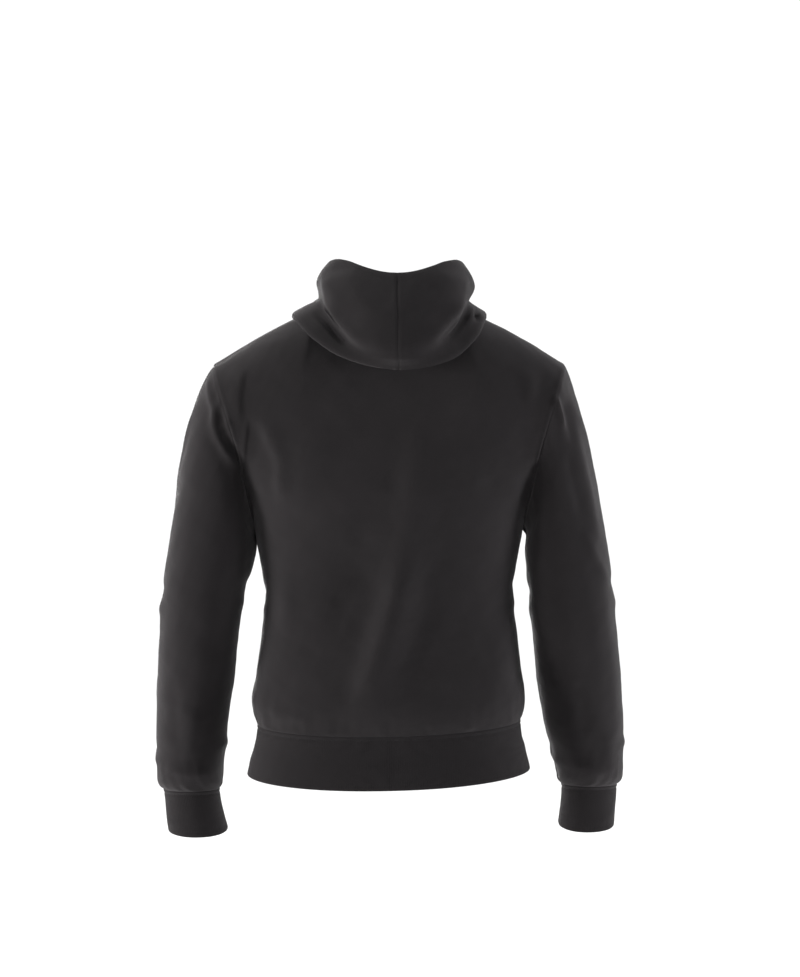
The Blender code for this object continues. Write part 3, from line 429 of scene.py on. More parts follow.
CREASES["body", "front"] = (
    # the armholes and sleeves from the front, where the elbow bends forward and the cloth bunches
    (5.1, 5, 7, (226, -120), (232, -150), (232, -178), (222, -204), (206, -230)),
    (-4.8, 7, 5, (218, -128), (222, -158), (218, -186), (206, -212)),
    (4.5, 8, 8, (196, -260), (220, -274), (248, -300), (262, -332)),
    (-4.2, 8, 8, (200, -284), (222, -300), (242, -322), (252, -352)),
    (4.8, 7, 7, (214, -376), (240, -384), (268, -382), (294, -366)),
    (-5.1, 7, 7, (212, -396), (238, -404), (266, -404), (296, -392)),
    (3.9, 7, 8, (220, -420), (246, -428), (276, -424), (304, -408)),
    (3.0, 9, 9, (240, -470), (262, -500), (272, -540), (268, -590)),
    (-2.7, 9, 9, (292, -450), (298, -500), (294, -560)),
    (2.7, 8, 8, (240, -640), (262, -652), (292, -652), (314, -640)),
    (4.8, 6, 6, (-222, -124), (-230, -152), (-230, -176), (-218, -206), (-202, -232)),
    (-4.5, 6, 6, (-214, -132), (-219, -160), (-214, -188), (-202, -214)),
    (4.2, 8, 9, (-192, -268), (-216, -284), (-240, -312), (-250, -350)),
    (4.5, 7, 7, (-208, -392), (-236, -398), (-264, -392), (-290, -374)),
    (-4.8, 8, 7, (-208, -414), (-236, -420), (-264, -416), (-292, -402)),
    (3.6, 8, 8, (-214, -440), (-242, -446), (-272, -440), (-300, -426)),
    (3.0, 9, 9, (-246, -480), (-264, -520), (-270, -566), (-262, -600)),
    (2.4, 8, 8, (-244, -652), (-268, -644), (-294, -650), (-312, -658)),
    # the fronts: from the shoulders to the zip, from the armholes, and the soft hang over the waistband
    (3.3, 13, 12, (150, -76), (140, -120), (122, -170), (96, -220)),
    (-3.3, 13, 14, (182, -90), (170, -130), (156, -180), (134, -236)),
    (3.0, 13, 13, (-146, -74), (-138, -118), (-118, -166), (-88, -210)),
    (-3.0, 14, 13, (-178, -90), (-168, -136), (-150, -186), (-126, -240)),
    (3.9, 17, 20, (176, -260), (150, -320), (122, -390), (100, -470), (92, -548)),
    (-3.0, 20, 18, (146, -250), (118, -310), (86, -390), (66, -460)),
    (3.6, 19, 16, (-172, -270), (-152, -340), (-132, -410), (-120, -490), (-118, -556)),
    (-2.7, 18, 20, (-134, -280), (-108, -350), (-84, -430), (-70, -510)),
    (2.7, 12, 12, (164, -562), (132, -570), (96, -570), (64, -562)),
    (2.4, 12, 12, (-70, -560), (-100, -571), (-134, -568), (-160, -560)),
)
CREASES["hood", "back"] = (
    # the hood from behind: its two ridges, the fold on the wearer's right and the drape between them
    (5.0, 8, 34, (88, 44), (86, 20), (80, -6), (64, -38)),
    (3.0, 30, 8, (-104, 44), (-102, 20), (-96, -6), (-82, -38)),
    (3.9, 5, 9, (96, 2), (89, -5), (71, -32), (56, -51), (40, -67), (24, -76)),
    (-3.9, 6, 5, (104, -8), (80, -36), (62, -57), (44, -73)),
    (4.2, 9, 5, (-108, 6), (-105, -1), (-88, -24), (-69, -47), (-50, -66)),
    (-3.9, 5, 6, (-114, -10), (-96, -34), (-76, -56), (-58, -70)),
    (-5.1, 3, 3, (-117, 0), (-120, -14), (-119, -34)),
    (3.3, 4, 4, (-118, 4), (-117, -10), (-113, -24), (-106, -38)),
    (2.4, 12, 12, (60, 34), (46, 10), (26, -14), (2, -26), (-24, -22)),
    (-2.1, 12, 12, (-66, 34), (-56, 12), (-40, -8), (-18, -40)),
    (1.8, 8, 8, (84, 30), (78, 8), (64, -14)),
)
CREASES["hood", "left"] = (
    # the hood's sides and front
    (1.8, 7, 7, (-60, 6), (-30, 20), (4, 26), (40, 18)),
    (-1.8, 7, 7, (-66, -12), (-34, 2), (0, 8), (36, 0)),
)
CREASES["hood", "right"] = (
    (1.8, 8, 7, (-56, 2), (-26, 18), (6, 22), (44, 12)),
    (-1.6, 7, 8, (-62, -16), (-30, 0), (6, 4), (40, -6)),
)
CREASES["hood", "front"] = (
    (1.4, 6, 6, (22, -64), (42, -48), (60, -26), (74, 0)),
    (1.4, 6, 6, (-20, -62), (-40, -46), (-60, -22), (-76, 2)),
)

# The solids that a piece stands for, where they aren't one of its own name
NODES = {
    "sleeve_left": ("sleeve_left_upper", "sleeve_left_lower"),
    "sleeve_right": ("sleeve_right_upper", "sleeve_right_lower"),
}


def without_side(name):
    """A piece's name without its left or right."""
    return name.removesuffix("_left").removesuffix("_right")


# ---------------------------------------------------------------- shapes shared with the solids
def smooth(value):
    value = np.clip(value, 0.0, 1.0)
    return value * value * (3.0 - 2.0 * value)


def ramp(value, start, reach):
    """Rises softly from 0 at the start to 1 over its reach."""
    return smooth((value - start) / reach)


def unit(vectors):
    """The same directions at length 1."""
    return vectors / np.linalg.norm(vectors, axis=-1, keepdims=True)


def running(lengths):
    """How far along a line each of its points lies, from the lengths between them."""
    return np.concatenate([[0.0], np.cumsum(lengths)])


def hermite(start, leave, end, arrive, t):
    """A cubic from start to end, with its slopes there."""
    return (
        start * (1 + 2 * t) * (1 - t) ** 2
        + leave * t * (1 - t) ** 2
        + end * t * t * (3 - 2 * t)
        - arrive * t * t * (1 - t)
    )


def curve_through(knots, values, at):
    """A smooth curve through values at rising knots, with no overshoot: a cubic with limited slopes."""
    knots = np.asarray(knots, float)
    values = np.asarray(values, float)
    at = np.clip(np.asarray(at, float), knots[0], knots[-1])
    steps = np.diff(knots)
    rises = np.diff(values) / steps
    slopes = np.concatenate([rises[:1], rises])
    same_way = rises[:-1] * rises[1:] > 0
    before, after = 2 * steps[1:] + steps[:-1], steps[1:] + 2 * steps[:-1]
    with np.errstate(divide="ignore", invalid="ignore"):
        inner = (before + after) / (before / rises[:-1] + after / rises[1:])
    slopes[1:-1] = np.where(same_way, inner, 0.0)
    k = np.clip(np.searchsorted(knots, at, side="right") - 1, 0, len(steps) - 1)
    t = (at - knots[k]) / steps[k]
    return hermite(values[k], slopes[k] * steps[k], values[k + 1], slopes[k + 1] * steps[k], t)


def spline(points, steps):
    """Points along a smooth curve: steps[n] of them, evenly spaced, from each given point to the next."""
    at = np.concatenate([[0.0], *(k + (np.arange(count) + 1.0) / count for k, count in enumerate(steps))])
    return read_along(np.asarray(points)[:, None], at)[:, 0]


def down_lines(rings, steps):
    """The grid of smooth lines that run through the same point of each ring."""
    return np.stack([spline(line, steps) for line in np.swapaxes(rings, 0, 1)], axis=1)


def round_corner(turn, squareness):
    """Sine and cosine of a quarter turn (0 to 1), drawn out to a superellipse."""
    angle = np.asarray(turn, float) * math.pi / 2
    sine, cosine = np.abs(np.sin(angle)), np.abs(np.cos(angle))
    reach = (sine**squareness + cosine**squareness) ** (-1.0 / squareness)
    return sine * reach, cosine * reach


def body_ring(z, turn, face):
    """Points of the body's tube at height z. turn runs from 0 in the middle to 1 at the side seam."""
    across, deep = round_corner(turn, BODY_SQUARENESS)
    half_width = curve_through(BODY["z"], BODY["half_width"], z)
    depth = FACING[face] * curve_through(BODY["z"], BODY[face], z)
    return np.stack([half_width * across, depth * deep, z + 0 * across], axis=-1)


def first_turn(z, face):
    """Where a panel's ring starts: the back in its middle, a front where it is clear of the zip."""
    if face == "back":
        return 0.0
    half_width = float(curve_through(BODY["z"], BODY["half_width"], z))
    return 2 / math.pi * math.atan(ZIP_HALF / half_width)


def column_turns(z, face):
    first = first_turn(z, face)
    return first + (1.0 - first) * np.linspace(0.0, 1.0, HALF_COLUMNS + 1)


def neck_point(direction):
    """The neck seam at a direction round the neck, in degrees from the front, on the wearer's left."""
    angle = math.radians(direction)
    face = "front" if direction < 90 else "back"
    reach = abs(math.cos(angle))
    y = FACING[face] * NECK_DEPTH[face] * reach
    z = -NECK_DROP[face] * reach ** NECK_CURVE[face]
    return np.array([NECK_HALF_WIDTH * math.sin(angle), y, z])


def shoulder_point(share):
    """The shoulder seam, from the neck (0) to the tip (1)."""
    neck, tip = neck_point(90.0), np.array(SHOULDER_TIP)
    point = neck + (tip - neck) * share
    point[2] += SHOULDER_CROWN * math.sin(math.pi * share)
    return point


def top_edge(face):
    """The points where the upper body's columns end: the neck seam, then the shoulder seam."""
    middle = 180.0 if face == "back" else math.degrees(math.asin(ZIP_HALF / NECK_HALF_WIDTH))
    neck = [neck_point(d) for d in np.linspace(middle, 90.0, NECK_COLUMNS + 1)]
    shares = np.linspace(0.0, 1.0, HALF_COLUMNS - NECK_COLUMNS + 1)[1:]
    return np.array(neck + [shoulder_point(s) for s in shares])


def top_directions(face, edge):
    """Which way each column arrives at the top edge: in to the neck and up, or over to the shoulder seam."""
    arrivals = []
    for n, point in enumerate(edge):
        if n <= NECK_COLUMNS:
            inward = np.array([-point[0] / NECK_HALF_WIDTH, -point[1] / NECK_DEPTH[face], 0.0])
            inward[2] = NECK_RISE[face] * abs(inward[1]) + SHOULDER_RISE
        else:
            inward = np.array([0.0, -FACING[face], SHOULDER_RISE])
        arrivals.append(unit(inward))
    arrivals = np.array(arrivals)
    for _ in range(ARRIVAL_PASSES):
        arrivals[1:-1] = (arrivals[:-2] + 2 * arrivals[1:-1] + arrivals[2:]) / 4
    return unit(arrivals)


def upper_body(face):
    """Rows from the armpit to the top edge. The last column is the armhole seam."""
    low = body_ring(ARMPIT_Z, column_turns(ARMPIT_Z, face), face)
    high = top_edge(face)
    rise = high - low
    columns = np.linspace(0.0, 1.0, HALF_COLUMNS + 1)
    level = np.linalg.norm(rise[:, :2], axis=1)[:, None]
    first = low + UPRIGHT * rise[:, 2:] * np.array([0.0, 0.0, 1.0])
    second = high - OVERHANG * level * top_directions(face, high)

    def bent(t):
        return low * (1 - t) ** 3 + 3 * first * t * (1 - t) ** 2 + 3 * second * t * t * (1 - t) + high * t**3

    middle = bent(0.5)[:, 1]
    target = middle[0] + (FACING[face] * BLADE[face] - middle[0]) * columns**BLADE_REACH
    share = columns**ARMHOLE_REACH
    rows = []
    for t in np.linspace(0.0, 1.0, ARMHOLE_ROWS + 1):
        row = bent(t)
        row[:, 1] += (target - middle) * math.sin(math.pi * t) ** BLADE_ROUND
        climb = (1 - math.cos(math.pi * t)) / 2 + ARMHOLE_LIFT * math.sin(math.pi * t) * (1 - t) ** 2
        scoop = ARMHOLE_SCOOP[face] * math.sin(math.pi * climb) ** SCOOP_ROUND
        x = low[:, 0] + rise[:, 0] * climb**ARMHOLE_LEAN - scoop
        row[:, 0] += (x - row[:, 0]) * share
        row[:, 2] += (low[:, 2] + rise[:, 2] * climb - row[:, 2]) * share
        rows.append(row)
    return np.array(rows)


def lower_body(face):
    """Rows from the waistband seam to just below the armpit."""
    heights = np.linspace(WAISTBAND_Z, ARMPIT_Z, LOWER_ROWS + 1)[:-1]
    return np.array([body_ring(z, column_turns(z, face), face) for z in heights])


def tilted(points):
    """The hem's tilt, which fades out up to the armpit."""
    points = points.copy()
    share = smooth((ARMPIT_Z - points[..., 2]) / (ARMPIT_Z - HEM_Z))
    drop = HEM_TILT * points[..., 0] + HEM_BOW * np.maximum(points[..., 1], 0.0)
    points[..., 2] += share * (HEM_RISE * (points[..., 0] / BODY["half_width"][0]) ** 2 - drop)
    return points


def mirrored(points):
    return points * np.array([-1.0, 1.0, 1.0])


def half_panel(face):
    return np.concatenate([lower_body(face), upper_body(face)])


def whole_from_half(half):
    """A panel across both sides, from a half that starts in the middle."""
    return np.concatenate([mirrored(half)[:, :0:-1], half], axis=1)


def waistband_grid():
    """From the left front edge round the back to the right front edge."""
    rows = []
    for z in np.linspace(HEM_Z, WAISTBAND_Z, WAISTBAND_ROWS + 1):
        front, back = (body_ring(z, column_turns(z, face), face) for face in ("front", "back"))
        left = np.concatenate([front, back[-2::-1]])
        rows.append(np.concatenate([left, mirrored(left)[-2::-1]]))
    return tilted(np.array(rows))


def armhole_loop():
    """The armhole seam on the wearer's left: from the shoulder tip down the back and up the front."""
    back, front = upper_body("back")[:, -1], upper_body("front")[:, -1]
    return np.concatenate([back[::-1], front[1:-1]])


def ring_between(sizes, side, row, z_outer, z_inner, tilt=0.0):
    """A row of a sleeve's sizes as a closed ring: its outer line, the back, the inner line and the front."""
    outer = np.array([sizes["outer_" + side][row], z_outer])
    inner = np.array([sizes["inner_" + side][row], z_inner])
    middle, reach = (outer + inner) / 2, (outer - inner) / 2
    points = []
    for step in range(RING_POINTS):
        quarter, turn = divmod(4.0 * step / RING_POINTS, 1.0)
        across, along = round_corner(turn, SLEEVE_SQUARENESS)
        if quarter % 2:
            across, along = along, across
        along *= 1 if quarter in (0, 3) else -1
        across *= 1 if quarter < 2 else -1
        x, z = middle + reach * along
        deep = sizes["half_depth"][row] * across
        points.append((x, sizes["middle_y"][row] + deep, z - tilt * deep))
    return np.array(points)


def sleeve_grid(side):
    """Rows from the armhole seam down to the cuff seam, each a closed ring."""
    rings = [armhole_loop()]
    drop = CUFF_DROP_LEFT if side == "left" else 0.0
    for row, heights in enumerate(zip(SLEEVE["outer_z"], SLEEVE["inner_z"])):
        heights = [z - drop * smooth((ELBOW_Z - z) / DROP_REACH) for z in heights]
        rings.append(ring_between(SLEEVE, side, row, *heights))
    return down_lines(rings, SLEEVE_STEPS)


def cuff_grid(side, seam):
    """Rows from the cuff seam, whose points are the sleeve's last ring, down to the open end."""
    rings = [seam]
    for row in range(1, len(CUFF["below"])):
        z = seam[0][2] - CUFF["below"][row]
        rings.append(ring_between(CUFF, side, row, z, z, CUFF["tilt"][row]))
    return down_lines(rings, CUFF_STEPS)


def hood_section(seam_point, side):
    """The hood's section over one point of the neck seam, from the seam to the opening edge."""
    direction = math.degrees(math.atan2(seam_point[0], -(seam_point[1] - HOOD_AXIS_Y)))
    points = [seam_point]
    lean = 1.0 - smooth(direction / HOOD_SWING_END)
    for line, (shift, swing) in HOOD_LINES.items():
        angle = math.radians(direction + swing * lean)
        out, z = (float(curve_through(HOOD_DIRECTIONS, of[line], direction)) for of in (HOOD_OUT, HOOD_Z))
        sideways = HOOD_SHIFT * shift * (1.0 - lean) * SIDES[side]
        points.append((out * math.sin(angle) + sideways, HOOD_AXIS_Y - out * math.cos(angle), z))
    return spline(with_round_roll(np.array(points)), HOOD_STEPS)


def with_round_roll(points):
    """The section's points with the roll's one point made into a round turn of ROLL_RADIUS."""
    under, tip, valley = points[2:5]
    back = unit((under + valley) / 2 - tip)
    apart = valley - under
    apart = unit(apart - back * (apart @ back)) * ROLL_RADIUS
    middle = tip + back * ROLL_RADIUS
    return np.concatenate([points[:3], [middle - apart, tip, middle + apart], points[4:]])


def hood_grid(side):
    """Columns from the front edge to the centre back seam, as if on the wearer's left."""
    front, back = (top_edge(face)[: NECK_COLUMNS + 1] for face in ("front", "back"))
    return np.stack([hood_section(point, side) for point in (*front, *back[-2::-1])], axis=1)


def zip_line(top, foot=HEM_Z):
    """Points up the zip on the garment's outer face, and the way out of the cloth at each."""
    band = [body_ring(z, 0.0, "front") for z in np.linspace(HEM_Z, WAISTBAND_Z, WAISTBAND_ROWS + 1)[:-1]]
    points = np.concatenate([np.array(band), half_panel("front")[:, 0]]) * np.array([0.0, 1.0, 1.0])
    ends = [[0.0, np.interp(z, points[:, 2], points[:, 1]), z] for z in (foot, top)]
    between = (points[:, 2] > foot + TAPE) & (points[:, 2] < top - TAPE)
    points = np.concatenate([ends[:1], points[between], ends[1:]])
    along = unit(np.gradient(points, axis=0))
    return points, np.stack([0 * along[:, 0], -along[:, 2], along[:, 1]], axis=1)


# ---------------------------------------------------------------- reading the panels finely
def read_along(points, at):
    """A smooth surface through rows of points, read at fractional places along its rows."""
    gaps = gap_lengths(points) ** 0.5
    slopes = np.gradient(points, running(gaps), axis=0, edge_order=2)
    k = np.clip(at.astype(int), 0, len(gaps) - 1)
    t = (at - k)[:, None, None]
    step = gaps[k][:, None, None]
    return hermite(points[k], slopes[k] * step, points[k + 1], slopes[k + 1] * step, t)


def read_grid(grid, rows_at, columns_at):
    return read_along(read_along(grid, rows_at).swapaxes(0, 1), columns_at).swapaxes(0, 1)


def gap_lengths(grid):
    """The mean length of each gap between a grid's rows."""
    return np.linalg.norm(np.diff(grid, axis=0), axis=2).mean(axis=1)


def spaced(lengths, seam_first=True, seam_last=True, cell=CELL):
    """Places along a line of gaps with these lengths: a cell apart, closer beside a seam at either end."""
    total = float(np.sum(lengths))
    first, last = (np.array(NEAR_SEAM if seam else NEAR_SEAM[:1]) for seam in (seam_first, seam_last))
    room = total - first[-1] - last[-1]
    middle = np.linspace(first[-1], total - last[-1], max(2, round(room / cell) + 1))
    places = np.concatenate([first[:-1], middle, total - last[-2::-1]])
    return np.interp(places, running(lengths), np.arange(len(lengths) + 1))


def whole_at(half_at):
    """Places across a whole panel, from those of the half that starts in its middle."""
    middle = half_at[-1]
    return np.concatenate([middle - half_at[::-1], middle + half_at[1:]])


def body_places():
    """Where the body's rows and half columns are read, with the neck's own columns first."""
    half = half_panel("back")
    across, up = gap_lengths(half.swapaxes(0, 1)), gap_lengths(half)
    neck = spaced(across[:NECK_COLUMNS], seam_last=False)
    rest = NECK_COLUMNS + spaced(across[NECK_COLUMNS:], seam_first=False)
    return {
        "neck": neck,
        "half": np.concatenate([neck[:-1], rest]),
        "lower": spaced(up[:LOWER_ROWS], seam_last=False),
        "upper": spaced(up[LOWER_ROWS:]),
    }


PLACES = body_places()


def distance_up(grid):
    """How far each point lies from the first row, along its column."""
    steps = np.linalg.norm(np.diff(grid, axis=0), axis=2)
    return np.concatenate([0 * steps[:1], np.cumsum(steps, axis=0)])


def distance_across(grid):
    """How far each point lies from the first column, along its row."""
    return distance_up(grid.swapaxes(0, 1)).T


def pull_rows(grid, wanted, reach=SEAM_PULL):
    """Moves the first row onto the wanted points, and the rows near it by less and less."""
    fade = 1.0 - smooth(distance_up(grid) / reach)
    return grid + (wanted - grid[0])[None] * fade[..., None]


class Cloth:
    """A panel read finely: its smooth outer face, how far each point lies from each border, and its lift.

    Its borders are foot (the first row), head (the last row), start (the first column) and end.
    """

    def __init__(self, name, grid, sewn, calm, kind="body", thickness=FLEECE):
        self.name, self.grid, self.thickness = name, grid, thickness
        self.sewn, self.calm, self.kind = sewn, calm, kind
        up, across = distance_up(grid), distance_across(grid)
        self.away = {"foot": up, "head": up[-1] - up, "start": across, "end": across[:, -1:] - across}
        self.uv = np.stack([across - across[:, -1:] / 2, up], axis=-1)
        self.normals = np.cross(np.gradient(grid, axis=1), np.gradient(grid, axis=0))
        self.normals /= np.maximum(np.linalg.norm(self.normals, axis=2, keepdims=True), 1e-12)
        self.normals *= np.sign(np.sum(self.normals * (grid - self.middle())))
        self.lift = np.zeros(grid.shape[:2])

    def middle(self):
        """What the outer face looks away from."""
        if self.kind == "body":
            return self.grid.mean(axis=(0, 1)) * np.array([0.0, 0.0, 1.0])
        return self.grid.mean(axis={"hood": 0, "sleeve": 1}[self.kind], keepdims=True)

    def border(self, name):
        """Row and column numbers of a border, in the order that the outer face's edges run."""
        rows, columns = self.grid.shape[:2]
        up, across = np.arange(rows), np.arange(columns)
        return {
            "foot": (0 * across, across),
            "end": (up, 0 * up + columns - 1),
            "head": (0 * across + rows - 1, across[::-1]),
            "start": (up[::-1], 0 * up),
        }[name]

    def outer(self):
        return self.grid + self.normals * self.lift[..., None]

    def inner(self):
        return self.outer() - self.normals * self.thickness


BORDERS = ("foot", "end", "head", "start")


def share_normals(cloths):
    """Gives panels one normal at each point where they meet without a fold, so that their seams stay shut."""
    meeting = defaultdict(list)
    for cloth in cloths:
        for name in BORDERS:
            for index in zip(*cloth.border(name)):
                key = tuple(np.round(cloth.grid[index] * MEETING_SCALE).astype(int))
                meeting[key].append((cloth, index, cloth.normals[index].copy()))
    for found in meeting.values():
        for cloth, index, own in found:
            cloth.normals[index] = unit(sum(other for _, _, other in found if own @ other > 0))


# ---------------------------------------------------------------- creases, seams and unevenness
def ends_fade(share):
    """A crease's height along its path: it rises from nothing, and dies out at its end."""
    return smooth(share / CREASE_RISE) * smooth((1.0 - share) / CREASE_FALL)


def hump(away, place, width):
    """A soft rounded ridge of height 1."""
    return np.exp(-(((away - place) / width) ** 2))


def crease_lift(points, normals, view, height, width_left, width_right, *path):
    out, a, b = VIEWS[view]
    lift = np.zeros(len(points))
    facing = ramp(normals @ np.array(out, float), *CREASE_FACING)
    line = spline(np.array(path) * MM, [CREASE_STEPS] * (len(path) - 1))
    reach = CREASE_REACH * max(width_left, width_right) * MM
    flat = points[:, (a, b)]
    inside = (flat > line.min(axis=0) - reach) & (flat < line.max(axis=0) + reach)
    chosen = np.flatnonzero((facing > 0) & np.all(inside, axis=1))
    if not len(chosen):
        return lift
    steps = np.diff(line, axis=0)
    lengths = np.linalg.norm(steps, axis=1)
    from_start = flat[chosen, None] - line[None, :-1]
    t = np.clip(np.sum(from_start * steps, axis=2) / lengths**2, 0.0, 1.0)
    gap = from_start - t[..., None] * steps
    distance = np.linalg.norm(gap, axis=2)
    best = np.argmin(distance, axis=1)
    nearest = np.arange(len(chosen)), best
    side = steps[best, 0] * gap[nearest][:, 1] - steps[best, 1] * gap[nearest][:, 0]
    width = np.where(side > 0, width_left, width_right) * MM
    share = (np.cumsum(lengths)[best] - lengths[best] * (1 - t[nearest])) / lengths.sum()
    lift[chosen] = height * MM * hump(distance[nearest], 0.0, width) * ends_fade(share) * facing[chosen]
    return lift


def unevenness(points, height, length, start):
    """Soft waves in many directions, the same on every run."""
    rng = np.random.default_rng(start)
    total = np.zeros(len(points))
    for _ in range(UNEVEN_WAVES):
        way = rng.normal(size=3)
        way *= 2 * math.pi / (length * rng.uniform(0.7, 1.5) * np.linalg.norm(way))
        total += np.sin(points @ way + rng.uniform(0, 2 * math.pi))
    return height * total / math.sqrt(UNEVEN_WAVES)


def worn(cloth):
    """All creases and unevenness of a panel, which die out at its calm borders."""
    points, normals = cloth.grid.reshape(-1, 3), cloth.normals.reshape(-1, 3)
    group = "hood" if cloth.kind == "hood" else "body"
    total = sum(unevenness(points, *row) for row in UNEVEN)
    for (kind, view), rows in CREASES.items():
        for row in rows if kind == group else ():
            total = total + crease_lift(points, normals, view, *row)
    total = total.reshape(cloth.grid.shape[:2]) * bpy.context.scene.hoodie_cloth.crease
    for border, reach in cloth.calm.items():
        total *= smooth(cloth.away[border] / reach)
    return total


def gathers(cloth):
    """Short puckers that run out from each seam where fuller cloth is eased in."""
    total, along = 0.0, cloth.uv[..., 0].ravel()
    for border, (height, length, reach) in GATHERS[cloth.kind].items():
        away = cloth.away[border]
        flat = np.stack([along, 0 * along, away.ravel() * PUCKER_STRETCH], axis=1)
        waves = unevenness(flat, height, length, GATHERS_START).reshape(away.shape)
        total = total + waves * smooth(away / PUCKER_START) * np.exp(-away / reach)
    return total


def ribs(cloth):
    """The rib knit's columns, which flatten at its seam and at its folded edge."""
    wave = np.abs(np.cos(math.pi * cloth.uv[..., 0] / RIB_PITCH)) ** RIB_ROUND - RIB_MIDDLE
    fold = RIB_AT_FOLD + (1 - RIB_AT_FOLD) * ramp(cloth.away["foot"], *RIB_FOOT)
    return RIB_HEIGHT * wave * ramp(cloth.away["head"], *RIB_TOP) * fold


# ---------------------------------------------------------------- meshes of the cloth
def strip_faces(lines):
    """Faces from the outer layer's border to the inner layer's, over the lines of points between them."""
    faces = []
    for upper, lower in zip(lines[:-1], lines[1:]):
        faces += zip(upper[1:], upper[:-1], lower[:-1], lower[1:])
    if len(lines) > 2:
        faces += [tuple(line[0] for line in reversed(lines)), tuple(line[-1] for line in lines)]
    return faces


def rim_lines(cloth, border, outer, inner):
    """Rows of points that round an open edge over from the outer layer to the inner one."""
    index = cloth.border(border)
    beside = {"foot": (1, 0), "head": (-1, 0), "start": (0, 1), "end": (0, -1)}[border]
    top, bottom = outer[index], inner[index]
    half = (top - bottom) / 2
    away = top - outer[index[0] + beside[0], index[1] + beside[1]]
    away -= unit(half) * np.sum(away * unit(half), axis=1, keepdims=True)
    away = unit(away) * np.linalg.norm(half, axis=1, keepdims=True)
    angles = math.pi * (np.arange(RIM_STEPS) + 1) / (RIM_STEPS + 1)
    return [(top + bottom) / 2 + half * math.cos(angle) + away * math.sin(angle) for angle in angles]


def mesh_of(name, points, faces, sharp, uv=None):
    """A mesh with faces that point out, smooth up to an angle in degrees, with its own map in metres."""
    mesh = bpy.data.meshes.new(name)
    mesh.from_pydata([tuple(p) for p in points], [], faces)
    bm = bmesh.new()
    bm.from_mesh(mesh)
    if bm.calc_volume(signed=True) < 0:
        bmesh.ops.reverse_faces(bm, faces=bm.faces)
    bm.to_mesh(mesh)
    bm.free()
    if uv is not None:
        corner = np.empty(len(mesh.loops), dtype=np.int32)
        mesh.loops.foreach_get("vertex_index", corner)
        mesh.uv_layers.new(name="cloth").data.foreach_set("uv", np.asarray(uv, np.float32)[corner].ravel())
    mesh.shade_smooth()
    mesh.set_sharp_from_angle(angle=math.radians(sharp))
    return mesh


def piece(made, finish, replaces=(), body=GARMENT):
    """Gives a piece its finish, and has it ride on its body and stand for its solids."""
    made.data.materials.clear()
    made.data.materials.append(finish_of(finish))
    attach(made, body)
    if replaces:
        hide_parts(*replaces)
    return made


def meshed(name, *shape):
    """An object of its own mesh in the scene."""
    made = bpy.data.objects.new(name, mesh_of(name, *shape))
    bpy.context.scene.collection.objects.link(made)
    return made


def cloth_piece(cloth, finish):
    """The panel's closed wall: both layers, sewn borders cut straight and open borders rounded."""
    outer, inner = cloth.outer(), cloth.inner()
    rows, columns = cloth.grid.shape[:2]
    layer = rows * columns
    number = np.arange(layer).reshape(rows, columns)
    corners = (number[:-1, :-1], number[:-1, 1:], number[1:, 1:], number[1:, :-1])
    faces = list(zip(*(corner.ravel().tolist() for corner in corners)))
    faces += [(p + layer, s + layer, r + layer, q + layer) for p, q, r, s in faces]
    points, uv = [outer.reshape(-1, 3), inner.reshape(-1, 3)], [cloth.uv.reshape(-1, 2)] * 2
    count = 2 * layer
    for border in BORDERS:
        index = cloth.border(border)
        lines = [number[index].tolist()]
        for row in () if border in cloth.sewn else rim_lines(cloth, border, outer, inner):
            lines.append(list(range(count, count + len(row))))
            points.append(row)
            uv.append(cloth.uv[index])
            count += len(row)
        faces += strip_faces([*lines, (number[index] + layer).tolist()])
    made = meshed(cloth.name + "_cloth", np.concatenate(points), faces, 65, np.concatenate(uv))
    piece(made, finish, NODES.get(cloth.name, (cloth.name,)))


def line_at(cloth, border, away):
    """Points on the face at a distance from a border, and the way out of the cloth at each."""
    distance, face, normals = cloth.away[border], cloth.outer(), cloth.normals
    if border in ("start", "end"):
        distance, face, normals = distance.T, face.swapaxes(0, 1), normals.swapaxes(0, 1)
    if border in ("head", "end"):
        distance, face, normals = distance[::-1], face[::-1], normals[::-1]
    points, out = [], []
    for column in range(distance.shape[1]):
        at = np.interp(away, distance[:, column], np.arange(len(distance)))
        k = min(int(at), len(distance) - 2)
        t = at - k
        for values, line in ((face, points), (normals, out)):
            line.append(values[k, column] * (1 - t) + values[k + 1, column] * t)
    return np.array(points), np.array(out)


# ---------------------------------------------------------------- the panels
def eased(grid):
    """Rounds a body panel's depth from side to side over the shoulder blades, away from its borders."""
    up, across = distance_up(grid), distance_across(grid)
    side = np.minimum(across, across[:, -1:] - across)
    share = EASING * ramp(side, *EASED_SIDE) * ramp(up[-1] - up, *EASED_TOP)
    share = (share * ramp(grid[..., 2], *EASED_HEIGHT))[:, 1:-1]
    gaps = np.linalg.norm(np.diff(grid, axis=1), axis=2)
    lean = gaps[:, 1:] / (gaps[:, 1:] + gaps[:, :-1])
    depth = grid[..., 1]
    for _ in range(EASING_PASSES):
        depth[:, 1:-1] += share * (lean * depth[:, :-2] + (1 - lean) * depth[:, 2:] - depth[:, 1:-1])
    return grid


